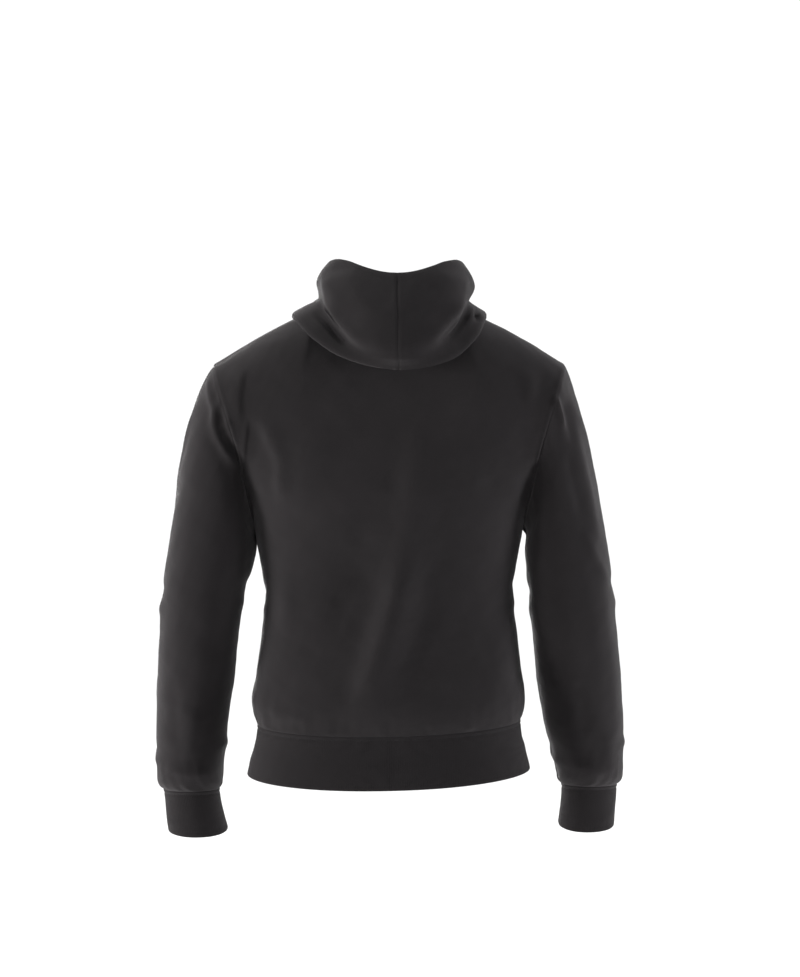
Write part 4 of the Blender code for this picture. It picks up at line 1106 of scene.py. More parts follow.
@lru_cache(maxsize=None)
def smooth_panels():
    """Every fleece panel read finely, with its borders drawn onto those of its neighbours."""
    half, lower, upper, neck = (PLACES[key] for key in ("half", "lower", "upper", "neck"))
    rows_at = np.concatenate([lower[:-1], LOWER_ROWS + upper])
    back = eased(tilted(read_grid(whole_from_half(half_panel("back")), rows_at, whole_at(half))))
    middle, armpit, throat = back.shape[1] // 2, len(lower) - 1, len(neck) - 1
    panels = [Cloth("back", back, BORDERS, {"foot": CALM, "head": CALM})]
    hoods = []
    for side, turn in SIDES.items():
        edge = back[:, middle:] if side == "left" else back[:, middle::-1]
        front = fine_front(turn, rows_at, half, edge, armpit, throat)
        calm = {"foot": CALM, "head": CALM, "start": ZIP_CALM}
        panels.append(Cloth(f"front_{side}", front, ("foot", "head", "end"), calm))
        hole = np.concatenate([front[armpit:, -1], edge[-2 : armpit - 1 : -1, -1]])
        panels.append(fine_sleeve(side, turn, hole, upper))
        collar = np.concatenate([front[-1, : throat + 1], edge[-1, throat - 1 :: -1]])
        hoods.append(fine_hood(side, turn, collar, neck))
    round_back(hoods)
    for side, grid in zip(SIDES, hoods):
        panels.append(Cloth(f"hood_{side}", grid, ("foot", "end"), {"foot": CALM, "head": HOOD_CALM}, "hood"))
    share_normals(panels)
    return {cloth.name: cloth for cloth in panels}


def fine_front(turn, rows_at, half, edge, armpit, throat):
    """A front, drawn onto the back's half along their side seam and their shoulder seam."""
    front = tilted(read_grid(half_panel("front") * np.array([turn, 1.0, 1.0]), rows_at, half))
    side_seam = front[:, -1].copy()
    side_seam[: armpit + 1] = edge[: armpit + 1, -1]
    side_seam[-1] = edge[-1, -1]
    front = pull_rows(front.swapaxes(0, 1)[::-1], side_seam)[::-1].swapaxes(0, 1)
    top = front[-1].copy()
    top[throat:] = edge[-1, throat:]
    front = pull_rows(front[::-1], top)[::-1]
    front[: armpit + 1, -1] = edge[: armpit + 1, -1]
    return eased(front)


def opened(rings):
    """A grid of closed rings cut open under the arm: from the armpit over the front, the tip and the back."""
    turned = np.roll(rings, -ARMHOLE_ROWS, axis=1)
    return np.concatenate([turned[:, -SPARE:], turned, turned[:, : SPARE + 1]], axis=1)


def fine_sleeve(side, turn, hole, upper):
    coarse = opened(sleeve_grid(side)) * np.array([turn, 1.0, 1.0])
    columns_at = SPARE + np.concatenate([upper, 2 * ARMHOLE_ROWS - upper[-2::-1]])
    grid = read_grid(coarse, spaced(gap_lengths(coarse)), columns_at)
    grid[:, -1] = grid[:, 0]
    grid = pull_rows(grid, hole)
    grid[:, -1] = grid[:, 0]
    return Cloth(f"sleeve_{side}", grid, BORDERS, {"head": CALM}, "sleeve")


def fine_hood(side, turn, collar, neck):
    coarse = hood_grid(side) * np.array([turn, 1.0, 1.0])
    columns_at = np.concatenate([neck, 2 * NECK_COLUMNS - neck[-2::-1]])
    rows_at = spaced(gap_lengths(hood_grid("left")))
    grid = pull_rows(read_grid(coarse, rows_at, columns_at), collar, COLLAR_PULL)
    slide = curve_through(list(SEAM_SLIDE), list(SEAM_SLIDE.values()), rows_at)
    grid[..., 0] += HOOD_SHIFT * np.outer(slide, ramp(columns_at, *SLIDE_COLUMNS))
    return grid


def round_back(hoods):
    """Brings the hood's two halves level to their centre seam, so that no row meets its mirror in a point."""
    ends = []
    for grid in hoods:
        away = distance_across(grid)
        away = away[:, -1:] - away
        share = smooth(distance_up(grid) / ROUND_FOOT)
        for row, (places, line) in enumerate(zip(away, grid)):
            near = places < ROUND_REACH
            start, nearer = (
                np.array([np.interp(place, places[::-1], line[::-1, k]) for k in (1, 2)])
                for place in (ROUND_REACH, ROUND_REACH - LEAN_STEP)
            )
            lean = (start - nearer) / LEAN_STEP
            drop = ROUND_REACH / 2 * (1 - (places[near, None] / ROUND_REACH) ** 2)
            line[near, 1:] += share[row, near, None] * (start - lean * drop - line[near, 1:])
        ends.append(grid[:, -1].copy())
    for grid, own in zip(hoods, ends):
        away = distance_across(grid)
        fade = np.clip(1 - (away[:, -1:] - away) / ROUND_REACH, 0.0, 1.0) ** 2
        grid += fade[..., None] * (sum(ends) / 2 - own)[:, None]


def fine_rib(name, coarse, spare, cells, sewn, calm, kind):
    """A rib piece: a few columns for each rib, with its head tucked a little under the fleece."""
    reach = running(gap_lengths(coarse[:, spare : coarse.shape[1] - spare].swapaxes(0, 1)))
    count = PLACES_PER_RIB * round(reach[-1] / RIB_PITCH)
    columns_at = spare + np.interp(np.linspace(0.0, reach[-1], count + 1), reach, np.arange(len(reach)))
    lengths = gap_lengths(coarse)
    grid = read_grid(coarse, spaced(lengths, cell=float(lengths.sum()) / cells), columns_at)
    if spare:
        grid[:, -1] = grid[:, 0]
    grid[-1] += TUCK * unit(grid[-1] - grid[-2])
    return Cloth(name, grid, sewn, calm, kind, RIB)


def fine_waistband():
    calm = {"head": CALM, "start": ZIP_CALM, "end": ZIP_CALM}
    return fine_rib("waistband", waistband_grid(), 0, BAND_CELLS, ("head",), calm, "body")


def fine_cuff(side):
    """Rows from the open end up to the sleeve's seam, cut open under the arm."""
    coarse = opened(cuff_grid(side, sleeve_grid(side)[-1]))[::-1] * np.array([SIDES[side], 1.0, 1.0])
    sewn = ("head", "start", "end")
    return fine_rib(f"cuff_{side}", coarse, SPARE, CUFF_CELLS, sewn, {"head": CALM}, "sleeve")


# ---------------------------------------------------------------- finishes
class Finish:
    """A material under construction: its nodes are added one call at a time."""

    def __init__(self, name, **values):
        self.material = bpy.data.materials.new(name)
        self.material.use_nodes = True
        self.tree = self.material.node_tree
        self.shader = self.tree.nodes["Principled BSDF"]
        for socket, value in values.items():
            self.shader.inputs[socket.replace("_", " ")].default_value = value

    def node(self, kind, inputs, **settings):
        """A node with its inputs, each a number or what another node gives. Its first output."""
        made = self.tree.nodes.new("ShaderNode" + kind)
        for key, value in settings.items():
            setattr(made, key, value)
        for socket, value in inputs.items():
            self.feed(made, socket, value)
        return made.outputs[0]

    def feed(self, node, socket, value):
        if isinstance(value, bpy.types.NodeSocket):
            self.tree.links.new(value, node.inputs[socket])
        else:
            node.inputs[socket].default_value = value

    def math(self, operation, first, second=0.0, third=0.0):
        return self.node("Math", {0: first, 1: second, 2: third}, operation=operation)

    def total(self, *shares):
        """The sum of values, each times its weight."""
        total = 0.0
        for value, weight in shares:
            total = self.math("MULTIPLY_ADD", value, weight, total)
        return total

    def wave(self, value, length=1.0):
        return self.math("SINE", self.math("MULTIPLY", value, 2 * math.pi / length))

    def noise(self, scale, detail=4.0, roughness=0.5, stretch=(1.0, 1.0, 1.0)):
        """Noise in the piece's own space."""
        place = self.tree.nodes.new("ShaderNodeTexCoord").outputs["Object"]
        mapped = self.node("Mapping", {"Vector": place, "Scale": stretch})
        inputs = {"Vector": mapped, "Scale": scale, "Detail": detail, "Roughness": roughness}
        return self.node("TexNoise", inputs)

    def spread(self, value, low, high, to_low=0.0, to_high=1.0):
        inputs = {"Value": value, "From Min": low, "From Max": high, "To Min": to_low, "To Max": to_high}
        return self.node("MapRange", inputs)

    def paint(self, tone, base, *stops):
        """The base colour along a tone: each stop is a place, and how many times as light as the base."""
        scale = self.tree.nodes.new("ShaderNodeValToRGB")
        self.feed(scale, "Fac", tone)
        elements = scale.color_ramp.elements
        while len(elements) < len(stops):
            elements.new(0.5)
        for element, (place, factor) in zip(elements, stops):
            element.position, element.color = place, (*(channel * factor for channel in base), 1.0)
        self.feed(self.shader, "Base Color", scale.outputs[0])

    def roughen(self, value, at_low, at_high, low=0.3, high=0.7):
        self.feed(self.shader, "Roughness", self.spread(value, low, high, at_low, at_high))

    def bumps(self, *layers):
        """Bump nodes one on another: each layer is a height, its depth in metres and its strength."""
        normal = None
        for height, depth, strength in layers:
            inputs = {"Height": height, "Distance": depth, "Strength": strength}
            if normal is not None:
                inputs["Normal"] = normal
            normal = self.node("Bump", inputs)
        self.feed(self.shader, "Normal", normal)


def cloth_axes(finish):
    """The cloth's own map, across and along, in metres."""
    split = finish.tree.nodes.new("ShaderNodeSeparateXYZ")
    finish.feed(split, 0, finish.node("UVMap", {}, uv_map="cloth"))
    return split.outputs[0], split.outputs[1]


def jersey(finish, wale, course):
    """Height of plain knit: columns of small V-shaped loops."""
    across, along = cloth_axes(finish)
    column = finish.math("FRACT", finish.math("DIVIDE", across, wale))
    arm = finish.math("ABSOLUTE", finish.math("SUBTRACT", column, 0.5))
    loop = finish.wave(finish.total((arm, 1.3), (along, 1 / course)))
    yarn = finish.math("SUBTRACT", 1.0, finish.math("POWER", finish.math("MULTIPLY", arm, 2.0), 3.0))
    return finish.math("MULTIPLY", finish.math("MULTIPLY_ADD", loop, 0.35, 0.65), yarn)


def brushed(name, bloom, grain, fleck):
    """Brushed yarn, matt with a pale bloom where the light grazes it, and its two scales of fuzz."""
    finish = Finish(name, Sheen_Weight=bloom, Sheen_Roughness=0.55, Specular_IOR_Level=0.035)
    finish.shader.inputs["Sheen Tint"].default_value = (0.86, 0.82, 0.84, 1.0)
    return finish, finish.noise(grain, 3.0, 0.7), finish.noise(fleck, 2.0, 0.6)


def fleece_finish(colours):
    """Brushed fleece: plain knit under a short fuzz."""
    finish, grain, fleck = brushed("hoodie_fleece", colours.bloom, 420.0, 1500.0)
    cloud = finish.noise(9.0, 5.0, 0.6)
    tone = finish.total((cloud, 0.35), (fleck, 0.3), (grain, 0.45))
    finish.paint(tone, colours.fleece, (0.36, 0.66), (0.54, 1.0), (0.70, 1.5))
    finish.roughen(grain, 0.86, 0.99)
    knit = jersey(finish, 0.0013, 0.0010)
    finish.bumps((cloud, 0.0016, 0.25), (grain, 0.00035, 0.5), (knit, 0.00022, 0.45), (fleck, 0.00018, 0.5))
    return finish.material


def rib_finish(colours):
    """Rib knit: the same yarn in tighter columns, with painted shade in its grooves and its crests painted
    lighter.
    """
    finish, grain, fleck = brushed("hoodie_rib", colours.bloom * 0.8, 520.0, 1600.0)
    # painted shade: the colour follows the ribs' shape, darker in each groove and lighter on each crest
    turn = finish.math("MULTIPLY", cloth_axes(finish)[0], math.pi / RIB_PITCH)
    column = finish.math("ABSOLUTE", finish.math("COSINE", turn))
    tone = finish.total((fleck, 0.3), (grain, 0.5), (column, 0.16))
    finish.paint(tone, colours.rib, (0.30, 0.6), (0.50, 1.0), (0.70, 1.45))
    finish.roughen(grain, 0.85, 0.98)
    knit = jersey(finish, RIB_PITCH / 2, 0.0009)
    finish.bumps((grain, 0.0003, 0.4), (knit, 0.00022, 0.5), (fleck, 0.00016, 0.5))
    return finish.material


def thread_finish(colours):
    """Sewing thread: a fine twist across each stitch."""
    finish = Finish("hoodie_thread", Sheen_Weight=0.02, Sheen_Roughness=0.5, Specular_IOR_Level=0.08)
    twist = finish.noise(2600.0, 2.0, 0.5, (1.0, 0.3, 1.0))
    finish.paint(twist, colours.fleece, (0.3, 0.63), (0.7, 0.9))
    finish.roughen(twist, 0.5, 0.72)
    finish.bumps((twist, 0.0002, 0.6))
    return finish.material


def tape_finish(colours):
    """Woven zip tape: a herringbone of fine warp and weft, with painted shade in its low places and its
    raised yarns painted lighter.
    """
    finish = Finish("hoodie_zip_tape", Sheen_Weight=0.2, Sheen_Roughness=0.5)
    across, along = cloth_axes(finish)
    slant = finish.math("ADD", along, finish.math("PINGPONG", across, 0.0016))
    height = finish.total((finish.wave(slant, 0.0007), 1.0), (finish.wave(across, 0.0004), 0.4))
    # painted shade: the colour follows the weave's height, darker where it is low and lighter where it is
    # raised
    tone = finish.spread(height, -1.4, 1.4)
    finish.paint(tone, colours.tape, (0.1, 0.6), (0.9, 1.3))
    finish.roughen(height, 0.88, 0.7, -1.4, 1.4)
    finish.bumps((tone, 0.00012, 0.7))
    return finish.material


def metal_finish(colours):
    """Dark plated metal: fine casting grain, and patches of wear, paler and smoother, that lie at random."""
    finish = Finish("hoodie_zip_metal", Metallic=1.0)
    grain, wear = finish.noise(2400.0, 3.0, 0.6), finish.noise(330.0, 5.0, 0.65)
    tone = finish.total((wear, 0.7), (grain, 0.3))
    finish.paint(tone, colours.metal, (0.35, 0.75), (0.55, 1.0), (0.72, 1.7))
    finish.roughen(wear, 0.46, 0.27, 0.3, 0.72)
    finish.bumps((grain, 0.00006, 0.5))
    return finish.material


def floor_finish(colour):
    """Pale matt floor with the faintest unevenness."""
    finish = Finish("studio_floor", Roughness=0.85)
    finish.paint(finish.noise(1.6), colour, (0.3, 0.99), (0.7, 1.0))
    return finish.material


FINISHES = {
    "fleece": fleece_finish,
    "rib": rib_finish,
    "thread": thread_finish,
    "zip_tape": tape_finish,
    "zip_metal": metal_finish,
}


def finish_of(kind):
    """The material of a kind of surface, made when it is first asked for."""
    made = bpy.data.materials.get("hoodie_" + kind)
    return made or FINISHES[kind](bpy.context.scene.hoodie_colours)


# ---------------------------------------------------------------- the zip
def zip_face(top, foot=HEM_Z, step=TAPE_STEP):
    """Points up the zip on the garment's outer face, evenly apart, and the way out at each."""
    points, out = zip_line(top, foot)
    length = running(np.linalg.norm(np.diff(points, axis=0), axis=1))
    at = np.interp(np.linspace(0.0, length[-1], round(length[-1] / step) + 1), length, np.arange(len(length)))
    return read_along(points[:, None], at)[:, 0], unit(read_along(out[:, None], at)[:, 0])


def zip_matrix(z, depth):
    """Stands a shape on the zip's line: its Z runs up the zip, its -Y faces out."""
    line, out = zip_line(z)
    up = Vector(line[-1] - line[-2]).normalized()
    outward = Vector(out[-1])
    turn = Matrix((Vector((1, 0, 0)), -outward, up)).transposed()
    return Matrix.Translation(Vector(line[-1]) - depth * outward) @ turn.to_4x4()


# The tape's face from its corded edge beside the teeth: across and high
TAPE_PROFILE = (
    (0.0000, 0.00115),
    (0.0003, 0.00145),
    (0.0012, 0.00140),
    (0.0020, 0.00080),
    (0.0068, 0.00070),
    (0.0116, 0.00070),
)


def tube_faces(rings, sides):
    """The faces of a closed tube whose points run ring by ring."""
    number = np.arange(rings * sides).reshape(rings, sides)
    after = np.roll(number, -1, axis=1)
    around = np.stack([number[:-1], after[:-1], after[1:], number[1:]], axis=-1)
    return [*around.reshape(-1, 4).tolist(), number[0, ::-1].tolist(), number[-1].tolist()]


def tape_piece(side, turn):
    """A woven tape up one side: a thin closed strip with a thicker corded edge beside the teeth."""
    points, out = zip_face(ZIP_TOP_Z)
    loop = [(TAPE_INNER + x, high) for x, high in TAPE_PROFILE]
    loop += [(x, TAPE_BACK) for x, _ in reversed(loop)]
    rows = [points + np.array([turn * x, 0, 0]) - (TAPE_DEPTH + TAPE - high) * out for x, high in loop]
    count = len(points)
    along = np.arange(count) * TAPE_STEP
    uv = np.array([[(x, a) for x, _ in loop] for a in along]).reshape(-1, 2)
    name = f"zip_tape_{side}"
    grid = np.stack(rows, axis=1).reshape(-1, 3)
    made = meshed(name + "_woven", grid, tube_faces(count, len(loop)), 60, uv)
    piece(made, "zip_tape", (name,))


def select(*chosen):
    """Leaves only these selected, the first one active."""
    if bpy.context.mode != "OBJECT":
        bpy.ops.object.mode_set(mode="OBJECT")
    bpy.ops.object.select_all(action="DESELECT")
    for made in reversed(chosen):
        made.select_set(True)
        bpy.context.view_layer.objects.active = made


def primitive(kind, name, place=(0.0, 0.0, 0.0), **sizes):
    """A primitive at its size and place, with both in its mesh."""
    select()
    getattr(bpy.ops.mesh, f"primitive_{kind}_add")(location=place, **sizes)
    made = bpy.context.object
    made.name = name
    bpy.ops.object.transform_apply(location=True, rotation=True, scale=True)
    return made


def cube(name, size, place=(0.0, 0.0, 0.0)):
    return primitive("cube", name, place, size=1.0, scale=size)


@contextmanager
def editing(made):
    """Edit mode on one object."""
    select(made)
    bpy.ops.object.mode_set(mode="EDIT")
    yield
    bpy.ops.object.mode_set(mode="OBJECT")


def facing(axis, way):
    """A test for faces that look along an axis, one way or the other."""
    return lambda centre, normal: normal["xyz".index(axis)] * way > 0.9


def choose(made, test, kind="FACE"):
    """In edit mode, selects only the faces or edges whose middle and direction pass the test."""
    bpy.ops.mesh.select_mode(type=kind)
    bpy.ops.mesh.select_all(action="DESELECT")
    bm = bmesh.from_edit_mesh(made.data)
    for part in bm.faces if kind == "FACE" else bm.edges:
        points = [v.co for v in part.verts]
        if kind == "FACE":
            part.select_set(bool(test(part.calc_center_median(), part.normal)))
        else:
            part.select_set(bool(test(sum(points, Vector()) / 2, (points[1] - points[0]).normalized())))
    bmesh.update_edit_mesh(made.data)


def stepped(made, test, border, move):
    """Insets the faces that pass the test, and moves what is inside."""
    choose(made, test)
    bpy.ops.mesh.inset(thickness=border)
    bpy.ops.transform.translate(value=move)


def narrowed(made, test, factors):
    choose(made, test)
    bpy.ops.transform.resize(value=factors)


def cut_across(axis, *places):
    """Cuts the shape in edit mode at each place along an axis."""
    way = Vector([float(letter == axis) for letter in "xyz"])
    for place in places:
        bpy.ops.mesh.select_all(action="SELECT")
        bpy.ops.mesh.bisect(plane_co=way * place, plane_no=way)


def bevelled(made, segments=2):
    """Rounds the shape's edges by what EDGES says for its name."""
    select(made)
    edge = made.modifiers.new("edges", "BEVEL")
    edge.width, edge.segments = EDGES[made.name.split(".")[0]], segments
    edge.limit_method, edge.angle_limit = "ANGLE", math.radians(30)
    bpy.ops.object.modifier_apply(modifier=edge.name)
    return made


def finish_metal(made, matrix, name, node, body=GARMENT):
    """Puts a modelled shape on the zip, and gives it its finish and body."""
    made.data.transform(matrix)
    made.name = made.data.name = name
    select(made)
    bpy.ops.object.shade_smooth_by_angle(angle=math.radians(32))
    piece(made, "zip_metal", (node,), body)


def tooth_shape():
    """One tooth, its root at x = 0 and its head towards +X: a block with a raised head."""
    made = cube("tooth", TOOTH_SIZE, (TOOTH_SIZE[0] / 2, 0, 0))
    with editing(made):
        stepped(made, facing("x", 1), 0.00022, (0.00045, 0, 0))
        stepped(made, facing("z", 1), 0.0004, (0.0003, 0, 0.00022))
        stepped(made, facing("z", -1), 0.0004, (0.0003, 0, 0.00018))
    points = np.array([v.co for v in made.data.vertices])
    faces = [tuple(p.vertices) for p in made.data.polygons]
    bpy.data.objects.remove(made, do_unlink=True)
    return points, faces


def teeth():
    """Both rows of teeth, each a copy of one tooth, from the box up to the slider."""
    points, faces = tooth_shape()
    turned = [face[::-1] for face in faces]
    line, out = zip_face(CHAIN_END, CHAIN_START, bpy.context.scene.hoodie_zip.tooth_pitch / 2)
    up = unit(np.gradient(line, axis=0))
    all_points, all_faces = [], []
    for n in range(1, len(line) - 1):
        across = np.array([-1.0 if n % 2 else 1.0, 0.0, 0.0])
        start = line[n] - CHAIN_MIDDLE * out[n] - across * CHAIN_HALF
        count = len(points) * len(all_points)
        all_points.append(start + points @ np.stack([across, -out[n], up[n]]))
        all_faces += [tuple(count + v for v in face) for face in (turned if n % 2 else faces)]
    made = meshed("zip_teeth", np.concatenate(all_points), all_faces, 35)
    piece(made, "zip_metal", ("zip_chain",))


def slider_plate(y, out):
    """One plate: broad at its shoulders, narrower at the foot, its face crowned."""
    made = cube("plate", (2 * SLIDER_HALF, SLIDER_PLATE, SLIDER_LENGTH), (0, y, 0))
    with editing(made):
        narrowed(made, facing("z", -1), (0.74, 1, 1))
        choose(made, lambda centre, along: abs(along.y) > 0.9, "EDGE")
        bpy.ops.mesh.bevel(offset=0.0019, segments=4, affect="EDGES")
        stepped(made, facing("y", out), 0.0011, (0, out * 0.00022, 0))
    return bevelled(made)


def slider_flange(x):
    """The rim that wraps a plate's side round the teeth, and closes in towards the foot."""
    place = (x, SLIDER_FACE + SLIDER_PLATE + 0.0003, -0.0006)
    made = cube("flange", (0.0009, 0.0011, SLIDER_LENGTH * 0.78), place)
    with editing(made):
        choose(made, facing("z", -1))
        bpy.ops.transform.translate(value=(-math.copysign(0.0011, x), 0, 0))
    return bevelled(made)


def slider_post(reach):
    """The post between the plates' shoulders, which parts the teeth."""
    place = (0, 0, (SLIDER_LENGTH - POST_LENGTH) / 2 - OVERLAP)
    post = cube("post", (2 * POST_HALF, 2 * reach, POST_LENGTH), place)
    with editing(post):
        narrowed(post, facing("z", -1), (0.25, 1, 1))
    return bevelled(post)


def slider_bail():
    """The bar over the pull, with its two feet on the front plate."""
    top = SLIDER_FACE - BAIL_RISE + BAIL_BAR / 2
    bail = cube("bail", (2 * BAIL_HALF, BAIL_BAR, BAIL_LENGTH - 2 * BAIL_BAR), (0, top, 0))

    def grown(test, move):
        choose(bail, test)
        bpy.ops.mesh.extrude_region_move(TRANSFORM_OT_translate={"value": move})

    with editing(bail):
        for way in (1, -1):
            grown(lambda c, n: n.z * way > 0.9 and c.z * way > 0, (0, OVERLAP, way * BAIL_BAR))
            foot = (0, BAIL_RISE - BAIL_BAR + OVERLAP, 0)
            grown(lambda c, n: n.y > 0.6 and c.z * way > BAIL_LENGTH / 2 - 1.2 * BAIL_BAR, foot)
    return bevelled(bail, 3)


def slider():
    """Two plates round the chain with their post, the flanges, and the bail on its cap."""
    inner = -SLIDER_FACE - SLIDER_PLATE / 2
    disc = {"vertices": 24, "radius": 0.0018, "depth": 0.0006, "rotation": (math.pi / 2, 0, 0)}
    cap = primitive("cylinder", "cap", (0, SLIDER_FACE - 0.0001, -0.0019), **disc)
    parts = [slider_plate(-inner, -1), slider_plate(inner, 1)]
    parts += [slider_flange(SLIDER_HALF - 0.0006), slider_flange(0.0006 - SLIDER_HALF)]
    parts += [slider_post(inner), slider_bail(), bevelled(cap)]
    select(*parts)
    bpy.ops.object.join()
    finish_metal(parts[0], zip_matrix(SLIDER_Z, CHAIN_MIDDLE), "zip_slider_body", "zip_slider")


def pull_tab():
    """A flat tab with an eye round its crossbar, a narrower foot and a sunk grip."""
    thick = PULL_THICK
    made = cube("pull", (2 * PULL_HALF, thick, PULL_LENGTH + thick / 2), (0, 0, -PULL_LENGTH / 2 + thick / 4))
    eye_top, eye_foot = -thick * 0.5, 0.0012 - PULL_EYE_LENGTH

    def in_eye(centre, normal):
        return abs(normal.y) > 0.9 and abs(centre.x) < PULL_EYE_HALF and eye_foot < centre.z < eye_top

    def corner(centre, along):
        return abs(along.y) > 0.9 and abs(centre.x) > PULL_HALF * 0.8 and not -0.025 < centre.z < -0.001

    with editing(made):
        cut_across("z", eye_top, eye_foot, *PULL_GRIP)
        cut_across("x", -PULL_EYE_HALF, PULL_EYE_HALF)
        choose(made, in_eye)
        bpy.ops.mesh.bridge_edge_loops()
        narrowed(made, lambda c, n: abs(n.z) > 0.9 and c.z < -PULL_LENGTH + 0.001, (0.86, 1, 1))
        choose(made, corner, "EDGE")
        bpy.ops.mesh.bevel(offset=0.0016, segments=5, affect="EDGES")
        choose(made, lambda c, n: abs(n.y) > 0.9 and PULL_GRIP[1] < c.z < PULL_GRIP[0])
        bpy.ops.mesh.inset(thickness=0.0011, use_individual=False)
        bpy.ops.mesh.inset(thickness=0.0002, depth=-0.0002)
    bevelled(made)
    place = zip_matrix(SLIDER_Z, CHAIN_MIDDLE) @ Matrix.Translation((0, PULL_AXIS_Y, PULL_AXIS_Z))
    finish_metal(made, place, "zip_pull_tab", "zip_pull", PULL)


def top_stop(side, turn):
    """A clip pressed round the tape's edge: a block with a waist."""
    made = cube("stop", STOP_SIZE, (turn * STOP_X, 0, 0))
    with editing(made):
        stepped(made, facing("y", -1), 0.0004, (0, -0.0002, 0))
        narrowed(made, facing("z", 1), (0.8, 0.85, 1))
    bevelled(made)
    name = f"zip_top_stop_{side}"
    finish_metal(made, zip_matrix(STOP_Z, STOP_DEPTH), name + "_clip", name)


def zip_foot():
    """The box at the foot, with the pin's slot down its face and a stepped top."""
    made = cube("box", BOX_SIZE)
    with editing(made):
        cut_across("x", SLOT_HALF, -SLOT_HALF)
        choose(made, lambda c, n: abs(n.y) > 0.9 and abs(c.x) < SLOT_HALF)
        bpy.ops.mesh.inset(thickness=0.0002)
        bpy.ops.transform.resize(value=(1, 0.86, 1))
        stepped(made, facing("z", 1), 0.0006, (0, 0, -0.0008))
    bevelled(made, 3)
    finish_metal(made, zip_matrix(BOX_Z, CHAIN_MIDDLE), "zip_box_shell", "zip_box")


# ---------------------------------------------------------------- stitches
def stitch_template(length, radius):
    """One stitch along +X: a short tube whose ends dip into the cloth, over -Z."""
    points = []
    for x, high in STITCH_BOW:
        for angle in np.arange(STITCH_SIDES) * 2 * math.pi / STITCH_SIDES:
            points.append((x * length, radius * math.cos(angle), radius * (high + math.sin(angle))))
    return np.array(points), tube_faces(len(STITCH_BOW), STITCH_SIDES)


def stitches(cloth, border, away):
    """A row of stitches on the cloth, at a distance from one of its borders."""
    template, faces = stitch_template(STITCH_PITCH * STITCH_FILL, STITCH_RADIUS)
    points, out = line_at(cloth, border, away)
    points -= out * STITCH_SINK
    length = running(np.linalg.norm(np.diff(points, axis=0), axis=1))
    count = int(length[-1] / STITCH_PITCH)
    at = (np.arange(count) + 0.5) * length[-1] / count
    places = np.stack([np.interp(at, length, axis) for axis in points.T], axis=1)
    ways = unit(np.stack([np.interp(at, length, axis) for axis in out.T], axis=1))
    along = np.gradient(places, axis=0)
    along = unit(along - ways * np.sum(along * ways, axis=1, keepdims=True))
    axes = np.stack([along, np.cross(ways, along), ways], axis=1)
    starts = len(template) * np.arange(count)
    all_faces = [tuple(start + v for v in face) for start in starts.tolist() for face in faces]
    all_points = (places[:, None] + template @ axes).reshape(-1, 3)
    piece(meshed(f"stitches_{cloth.name}", all_points, all_faces, 180), "thread")


# ---------------------------------------------------------------- shaping each kind of piece
# How deep the groove of a seam is on a panel's border, where it isn't GROOVE
GROOVES = {
    ("back", "foot"): LIP,
    ("front", "foot"): LIP,
    ("sleeve", "head"): LIP,
    ("waistband", "head"): RIB_GROOVE,
    ("cuff", "head"): RIB_GROOVE,
    ("hood", "end"): HOOD_GROOVE,
}


def sewn_lift(cloth, welts):
    """The grooves of a panel's seams, with the height on each border of the seam allowance beside it."""
    total = np.zeros(cloth.grid.shape[:2])
    for border in cloth.sewn:
        away = cloth.away[border]
        total -= GROOVES.get((without_side(cloth.name), border), GROOVE) * hump(away, 0.0, GROOVE_WIDTH)
        total += welts.get(border, 0.0) * hump(away, WELT_PLACE, WELT_WIDTH)
    return total


def stitch_groove(away, place, size):
    depth, width = size
    return -depth * hump(away, place, width)


def stitched_hem(away, place, height):
    """A turned hem: thicker up to its row of stitches, which lies in a slight groove."""
    raised = height * (1.0 - ramp(away, place - HEM_LEAD, HEM_STEP)) * smooth(away / HEM_EDGE)
    return raised + stitch_groove(away, place, STITCH_GROOVE)


def shape_body(cloth):
    cloth.lift = worn(cloth) + gathers(cloth) + sewn_lift(cloth, {"head": WELT, "start": WELT, "end": WELT})
    if cloth.name != "back":
        cloth.lift += stitched_hem(cloth.away["start"], FRONT_STITCH, FRONT_HEM_HEIGHT)


def shape_sleeve(cloth):
    cloth.lift = worn(cloth) + gathers(cloth) + sewn_lift(cloth, {"start": WELT})


def shape_hood(cloth):
    over_seam = SEAM_AT_FOLD + (1 - SEAM_AT_FOLD) * ramp(cloth.away["head"], *SEAM_OVER_HEM)
    cloth.lift = worn(cloth) + sewn_lift(cloth, {"foot": WELT, "end": WELT}) * over_seam
    cloth.lift += stitched_hem(cloth.away["head"], HOOD_HEM, HOOD_HEM_HEIGHT)


def shape_rib(cloth):
    cloth.lift = worn(cloth) * RIB_FOLDS + sewn_lift(cloth, {"head": WELT}) + ribs(cloth)
    cloth.lift += stitch_groove(cloth.away["head"], SEAM_TO_STITCH, RIB_STITCH_GROOVE)


@lru_cache(maxsize=None)
def dressed():
    """All cloth, shaped."""
    panels = dict(smooth_panels())
    for cloth in (fine_waistband(), fine_cuff("left"), fine_cuff("right")):
        panels[cloth.name] = cloth
    shapes = {"front": shape_body, "back": shape_body, "sleeve": shape_sleeve, "hood": shape_hood}
    for name, cloth in panels.items():
        shapes.get(without_side(name), shape_rib)(cloth)
    return panels


